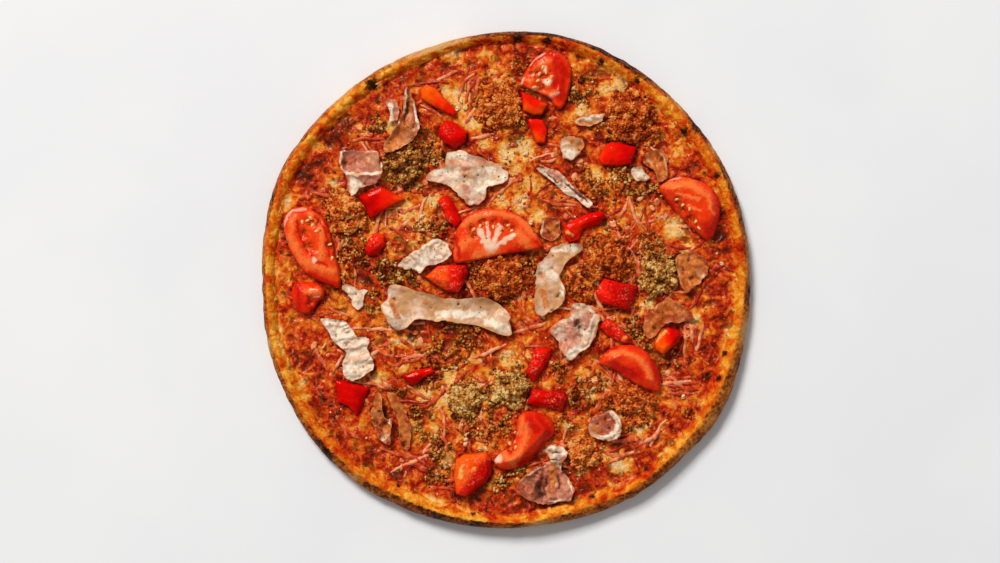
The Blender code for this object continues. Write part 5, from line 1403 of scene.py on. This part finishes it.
def makeMince():
    look = minceLook
    brown = makeMinceFinish("friedMinceBrown", (0.0, 88, 18, 3), (0.3, 180, 56, 10), (0.6, 228, 94, 22),
                            (0.85, 246, 132, 46), (1.0, 254, 176, 90))
    olive = makeMinceFinish("friedMinceOlive", (0.0, 70, 26, 6), (0.3, 150, 72, 20), (0.6, 206, 128, 46),
                            (0.85, 238, 178, 84), (1.0, 248, 210, 136))
    heap, loose = makeHeapTree(), makeScatterTree()
    skirts = []
    for node, (seed, shade, paler) in look["heaps"].items():
        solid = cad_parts[node].data
        obj = bpy.data.objects.new(f"minceHeap{node.split('_')[1]}", solid.copy())
        obj.data.materials.clear()
        bpy.context.scene.collection.objects.link(obj)
        growTree(cleaned(obj, weld=0.00001, outward=False), heap, {
            "Crumb Size": look["crumbSize"] * mm, "Crumbs Per Area": look["crumbsPerArea"], "Seed": seed,
            "Grit Size": look["gritSize"] * mm, "Grit Per Area": look["gritPerArea"], "Paler": paler,
            "Unevenness": look["unevenness"] * mm, "Material": olive if shade > 0.5 else brown})
        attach(obj, "root")
        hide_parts(node)
        corners = np.array([tuple(v.co) for v in solid.vertices]) / mm
        middle, half = (corners.max(axis=0) + corners.min(axis=0)) / 2, np.ptp(corners, axis=0) / 2
        skirts.append((middle[0], middle[1], 1.25 * max(half[0], half[1]), look["skirtCrumbs"], shade))
    draw = np.random.default_rng(91)
    clouds = {"looseMinceBrown": [], "looseMinceOlive": []}
    for x, y, reach, count, shade in list(look["spots"]) + skirts:
        # crumbs stick together in clumps of a few
        px, py = spotsIn(draw, reach, count // 2)
        px, py = np.repeat(x + px, look["perClump"]), np.repeat(y + py, look["perClump"])
        px, py = px + draw.normal(0, 1.1, len(px)), py + draw.normal(0, 1.1, len(px))
        keep = clearOfToppings(px, py, 0.6)
        px, py = px[keep], py[keep]
        pile = 2.6 * np.exp(-((px - x) ** 2 + (py - y) ** 2) / (reach * 0.6) ** 2)
        pz = surfaceAt(px, py) + 0.3 + (0.8 + pile) * draw.uniform(0, 1, len(px))
        greens = draw.uniform(0, 1, len(px)) < shade
        for name, mask in (("looseMinceBrown", ~greens), ("looseMinceOlive", greens)):
            clouds[name] += list(zip(px[mask], py[mask], pz[mask]))
    px, py = spotsIn(draw, look["strayReach"], look["strayCrumbs"])
    keep = clearOfToppings(px, py, 0.8)
    px, py = px[keep], py[keep]
    strays = list(zip(px, py, surfaceAt(px, py) + 0.2))
    clouds["looseMinceBrown"] += strays[::2]
    clouds["looseMinceOlive"] += strays[1::2]
    for name, places in clouds.items():
        obj = scattered(name, places, loose, olive if name.endswith("Olive") else brown, size=1.25,
                        height=0.85, smallest=0.4, unevenness=2.5, tilt=3.1, seed=17, rounds=1)
        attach(obj, "root")
        print(name, len(places), "crumbs")
    return loose


# shreds of ham

shredLook = {
    "width": 1.45,  # half a shred's width
    "flatness": 0.5,
    "named": (  # x, y, heading, length, total bend
        (-95, 86, 10, 21, -20), (-43, 122, 28, 15, 0), (-23, 127, -90, 18, 5), (-17, 125, -97, 17, -8),
        (-19, 106, -128, 12, 10), (-2, 127, 205, 14, 10), (-104, 30, -80, 12, 20), (-75, 39, 12, 24, 12),
        (-72, 29, 30, 16, 10), (-90, -29, 2, 25, -8), (-80, -41, 22, 12, 0), (-66, -34, -36, 14, 0),
        (-64, -47, 8, 20, 10), (-23, -48, 20, 25, 8), (-34, -76, 95, 28, -80), (-26, -81, -105, 13, 0),
        (76, 32, 25, 30, -20), (91, 32, -60, 34, 100), (77, 14, -60, 21, -45), (72, 13, -62, 19, -30),
        (110, -24, -95, 22, 6), (116, -27, -93, 16, -8), (94, -63, 8, 20, -8), (97, -68, -2, 18, 6),
        (37, -66, 30, 21, -6), (72, -99, 0, 27, 42), (76, -104, 4, 22, 12), (-104, -82, -55, 16, -12),
        (-64, -106, -34, 24, 10), (-58, -107, -28, 18, 0), (68, 31, -80, 11, 10), (60, 39, 30, 13, 0),
        (76, 47, 28, 12, 16), (4, -31, 14, 22, 6), (-8, 90, 200, 14, -20), (104, 33, 12, 14, -20),
        (-120, 55, -20, 16, 24), (-118, -38, -70, 18, 20), (40, 132, -30, 16, -20), (-85, 95, 40, 14, 10),
        (94, -60, 4, 22, 0), (98, -64, 6, 20, 4), (100, -66, 0, 18, -4), (-60, -110, -30, 22, 8),
        (-54, -112, -24, 18, 0), (-70, -104, -20, 16, 10), (112, -22, -85, 20, 10),
        (120, -25, -100, 18, -8), (107, -45, -70, 16, 20), (98, -84, -130, 20, 20), (84, -96, 190, 24, -20),
        (78, -104, 200, 18, 10), (60, -60, 205, 26, -10), (-96, -84, -60, 16, 20), (-100, -88, -50, 14, 30),
        (-70, -52, 20, 22, -10), (-52, -46, -20, 20, 30),
    ),
    "scrapSize": 2.6,
    "scraps": (  # x, y, reach, how many
        (-20, -57, 8, 9), (-10, -63, 6, 6), (13, -27, 8, 8), (-112, 57, 5, 5), (-86, 96, 7, 7),
        (-64, 60, 5, 4), (-80, 44, 6, 4), (44, 70, 8, 7), (30, 76, 5, 5), (96, 44, 8, 6), (70, 34, 7, 5),
        (-30, -66, 8, 7), (-52, -36, 7, 6), (104, -58, 8, 6), (112, -30, 6, 5), (-4, 88, 7, 5),
        (-92, -45, 6, 5), (-60, -112, 7, 5), (22, -84, 6, 5), (80, -96, 8, 6), (-114, -36, 6, 5),
        (6, 62, 6, 4), (-48, 56, 6, 4), (56, -54, 7, 5), (0, 0, 120, 90),
    ),
    "scrapReach": 132, "bunches": 96, "bunchReach": 128, "perBunch": (2, 5), "farthest": 137, "points": 14,
}


def makeShredFinish():
    shred = Finish("hamShred", {"Roughness": 0.4, "Coat Weight": 0.2})
    fine, mid = shred.grain(1.0, 3), shred.grain(5, 3)
    shred.colour = shred.ramp(shred.wobble(shred.field("tone"), mid, 0.35), (0.0, 160, 24, 4),
                              (0.35, 200, 60, 18), (0.7, 224, 106, 56), (1.0, 240, 158, 112))
    shred.over(fine, 0.58, 0.75, 0.4, (244, 172, 128))
    return shred.done(fine, 0.4, 0.7)


def makeShredTree():
    # a flat uneven strip along every line of the mesh
    shred = Grower("hamShreds", {"Half Width": 0.00125, "Flatness": 0.5, "Unevenness": 0.0008, "Seed": 1,
                                 "Material": None})
    inputs = shred.inputs
    curve = shred.out("GeometryNodeMeshToCurve", {"Mesh": inputs["Geometry"]})
    upright = shred.out("GeometryNodeSetCurveNormal", {"Curve": curve}, mode="Z_UP")
    ring = shred.node("GeometryNodeCurvePrimitiveCircle", {"Resolution": 7, "Radius": inputs["Half Width"]},
                      mode="RADIUS").outputs["Curve"]
    squash = shred.out("ShaderNodeCombineXYZ", {0: 1.0, 1: inputs["Flatness"], 2: 1.0})
    flat = shred.out("GeometryNodeTransform", {"Geometry": ring, "Scale": squash})
    thick = shred.out("GeometryNodeInputNamedAttribute", {"Name": "thick"}, data_type="FLOAT")
    strip = shred.out("GeometryNodeCurveToMesh", {"Curve": upright, "Profile Curve": flat, "Scale": thick,
                                                  "Fill Caps": True})
    return shred.close(shred.shaken(strip, 3.0))


def makeShreds(loose):
    look = shredLook
    finish = makeShredFinish()
    draw = np.random.default_rng(29)
    shreds = [(*named, 1.0) for named in look["named"]]
    for _ in range(look["bunches"]):
        away, turn = look["bunchReach"] * math.sqrt(draw.uniform(0, 1)), draw.uniform(0, anyTurn)
        x, y, heading = away * math.cos(turn), away * math.sin(turn), draw.uniform(0, 360)
        for _ in range(draw.integers(*look["perBunch"])):
            shreds.append((x + draw.normal(0, 4), y + draw.normal(0, 4), heading + draw.normal(0, 22),
                           draw.uniform(10, 30), draw.normal(0, 45), draw.uniform(0.6, 1.0)))
    places, edges, thick, tones = [], [], [], []
    for x, y, heading, length, bendBy, width in shreds:
        tone, count = draw.uniform(0, 1), look["points"]
        at, path = np.array([x, y], float), []
        for i in range(count):
            path.append(at.copy())
            turn = math.radians(heading + bendBy * i / count + 7 * math.sin(i * 0.9 + x))
            at = at + np.array([math.cos(turn), math.sin(turn)]) * length / (count - 1)
        path = np.array(path)
        if np.any(np.hypot(*path.T) > look["farthest"]):
            continue
        arch = 0.8 * np.sin(np.linspace(0, 3.14, count)) * draw.uniform(0.1, 1.3)
        z = surfaceAt(path[:, 0], path[:, 1]) - 0.35 + arch
        first = len(places)
        places += [(px, py, pz) for (px, py), pz in zip(path, z)]
        edges += [(first + i, first + i + 1) for i in range(count - 1)]
        ragged = draw.uniform(0.6, 1.15, count)
        thick += list(width * ragged * (0.3 + 0.7 * np.sin(np.linspace(0.25, 2.9, count)) ** 0.5))
        tones += [tone] * count
    obj = lineMesh("hamShreds", places, edges)
    for key, values in (("thick", thick), ("tone", tones)):
        obj.data.attributes.new(key, "FLOAT", "POINT").data.foreach_set("value", values)
    growTree(obj, makeShredTree(), {"Half Width": look["width"] * mm, "Flatness": look["flatness"], "Seed": 5,
                                    "Unevenness": 1.0 * mm, "Material": finish})
    cleaned(obj)
    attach(obj, "root")
    scraps = []
    for x, y, reach, amount in look["scraps"]:
        px, py = draw.normal(x, reach * 0.5, amount), draw.normal(y, reach * 0.5, amount)
        keep = clearOfToppings(px, py, 1.2) & (np.hypot(px, py) < look["scrapReach"])
        scraps += list(zip(px[keep], py[keep], surfaceAt(px[keep], py[keep]) + 0.25))
    obj = scattered("hamScraps", scraps, loose, finish, size=look["scrapSize"], height=0.2, smallest=0.35,
                    unevenness=2.6, tilt=0.3, seed=23)
    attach(obj, "root")
    print("ham shreds done")


# seeds, herb flecks and crumbs of cheese

smallLook = {
    "herbFlecks": 420, "herbReach": 140, "herbSize": 0.62,
    "cheeseCrumbs": ((22, -22, 1.8), (107, -70, 2.4), (-12, -102, 1.6), (-16, -102, 1.4), (-31, -52, 1.9),
        (53, -65, 1.6), (-17, -70, 1.2), (-12, -71, 1.2), (-7, -72, 1.2), (115, -23, 1.8), (-25, -98, 1.8),
        (-24, -94, 1.5), (57, -88, 1.5), (-91, 37, 1.2), (-94, -9, 1.6), (-99, -4, 1.6), (13, 31, 1.3),
        (15, 36, 1.3), (116, 33, 1.1), (8, 50, 1.8), (12, 52, 1.7), (10, 46, 1.6), (-4, 51, 1.9),
        (0, 76, 1.6), (12, 78, 1.5), (65, 63, 1.6), (-28, 110, 1.5), (-25, 106, 1.6), (-30, 106, 1.3),
        (52, 141, 1.6), (-53, 34, 1.5), (-52, 40, 1.5), (131, 11, 1.1)),
    "specks": 170, "speckReach": 134,
}


def makePlainFinish(name, dark, light, roughness, size):
    plain = Finish(name, {"Roughness": roughness, "Coat Weight": 0.2})
    fine = plain.grain(size, 3)
    plain.colour = plain.mix(plain.between(fine, 0.35, 0.65), dark, light)
    plain.over(plain.field("tone"), 0.0, 1.0, 0.6, light)
    return plain.done(fine, 0.3, 0.6)


def makeSmallThings(seeds, loose):
    look = smallLook
    draw = np.random.default_rng(53)
    # each pip is one stretched ball of rings
    parts, faces, count = [], [], 0
    rounds, around = 6, 9
    for x, y, z, heading in seeds:
        c, s = math.cos(math.radians(heading)), math.sin(math.radians(heading))
        for i in range(rounds + 1):
            a = math.pi * i / rounds
            for k in range(around):
                b = 2 * math.pi * k / around
                u, v, w = 1.5 * math.cos(a), 0.95 * math.sin(a) * math.cos(b), 0.7 * math.sin(a) * math.sin(b)
                v *= 1 + 0.3 * math.cos(a)
                parts.append((x + u * c - v * s, y + u * s + v * c, z + w))
        for first in range(count, count + rounds * around, around):
            for k in range(around):
                m = (k + 1) % around
                faces.append((first + k, first + m, first + around + m, first + around + k))
        count += (rounds + 1) * around
    pip = makePlainFinish("tomatoPip", (230, 140, 60), (246, 196, 122), 0.25, 1.0)
    obj = makeMesh("tomatoPips", parts, faces, pip, {"tone": draw.uniform(0, 1, len(parts))})
    cleaned(obj, weld=0.00002)
    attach(obj, "root")
    # herb flecks lie on the cheese and on every topping
    px, py = spotsIn(draw, look["herbReach"], look["herbFlecks"])
    pz = surfaceAt(px, py) + 0.35
    for name, (tx, ty, high) in topSurfaces.items():
        for i in np.where(edgeDistance(outlines[name], px, py) > 0.3)[0]:
            pz[i] = high[np.argmin((tx - px[i]) ** 2 + (ty - py[i]) ** 2)] + 0.12
    fleck = makePlainFinish("driedHerb", (34, 24, 8), (86, 70, 26), 0.7, 0.8)
    flecks = scattered("herbFlecks", list(zip(px, py, pz)), loose, fleck, size=look["herbSize"], height=0.35,
                       smallest=0.4, unevenness=0.7, tilt=0.5, seed=41, rounds=1)
    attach(flecks, "root")
    # pale crumbs of cheese and fat
    curd = makePlainFinish("cheeseCrumb", (216, 150, 84), (242, 206, 156), 0.4, 1.4)
    crumbs = []
    for x, y, reach in look["cheeseCrumbs"]:
        for _ in range(3):
            px, py = x + draw.normal(0, reach * 0.35), y + draw.normal(0, reach * 0.35)
            crumbs.append((px, py, float(surfaceAt(np.array([px]), np.array([py]))[0]) + 0.5))
    px, py = spotsIn(draw, look["speckReach"], look["specks"])
    keep = clearOfToppings(px, py, 0.4)
    specks = list(zip(px[keep], py[keep], surfaceAt(px, py)[keep] + 0.25))
    for name, places, size in (("cheeseCrumbs", crumbs, 1.5), ("cheeseSpecks", specks, 0.75)):
        obj = scattered(name, places, loose, curd, size=size, height=0.6, smallest=0.5, unevenness=size,
                        tilt=0.6, seed=43)
        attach(obj, "root")
    print("seeds, herbs and crumbs done")


# everything in turn

outlines.update(placeOutlines())
makeCrust()
makeCheese()
pips = makeTomatoes()
makePeppers()
makeMeats()
looseTree = makeMince()
makeShreds(looseTree)
makeSmallThings(pips, looseTree)


# floor, light and camera

studioLook = {
    "floor": (244, 244, 244),
    "floorClouds": (240, 240, 241),
    "cloudSize": 180,
    "floorReach": 3000,
    "sky": 0.29,
    "keyPlace": (-2100, 3900, 4500),
    "keySize": 1850,
    "keyPower": 378.0,
    "cameraHeight": 1200,
    "frameWidth": 610.0,  # how much of the table shows, at the height sharpAt
    "sharpAt": 10,
    "sensor": 36,
    "frameMiddle": -4.0,
}


def makeStudio():
    look = studioLook
    table = Finish("paleTable", {"Roughness": 0.55})
    cloudy = table.between(table.grain(look["cloudSize"], 3), 0.35, 0.65)
    table.drive("Base Color", table.mix(cloudy, look["floor"], look["floorClouds"]))
    side = look["floorReach"]
    corners = [(-side, -side, 0), (side, -side, 0), (side, side, 0), (-side, side, 0)]
    floor = makeMesh("floor", corners, [(0, 1, 2, 3)], table.made)
    world = bpy.data.worlds.new("studio")
    world.use_nodes = True
    world.node_tree.nodes["Background"].inputs["Color"].default_value = (1, 1, 1, 1)
    world.node_tree.nodes["Background"].inputs["Strength"].default_value = look["sky"]
    bpy.context.scene.world = world
    lamp = bpy.data.lights.new("key", "AREA")
    lamp.size = look["keySize"] * mm
    lamp.energy = look["keyPower"]
    key = bpy.data.objects.new("key", lamp)
    key.location = Vector(look["keyPlace"]) * mm
    key.rotation_euler = (-key.location).to_track_quat("-Z", "Y").to_euler()
    bpy.context.scene.collection.objects.link(key)
    lens = bpy.data.cameras.new("camera")
    lens.sensor_width = look["sensor"]
    lens.lens = look["sensor"] * (look["cameraHeight"] - look["sharpAt"]) / look["frameWidth"]
    camera = bpy.data.objects.new("camera", lens)
    camera.location = (look["frameMiddle"] * mm, 0, look["cameraHeight"] * mm)
    bpy.context.scene.collection.objects.link(camera)
    bpy.context.scene.camera = camera
    bpy.context.scene.view_settings.view_transform = "Standard"
    print("studio done")


makeStudio()
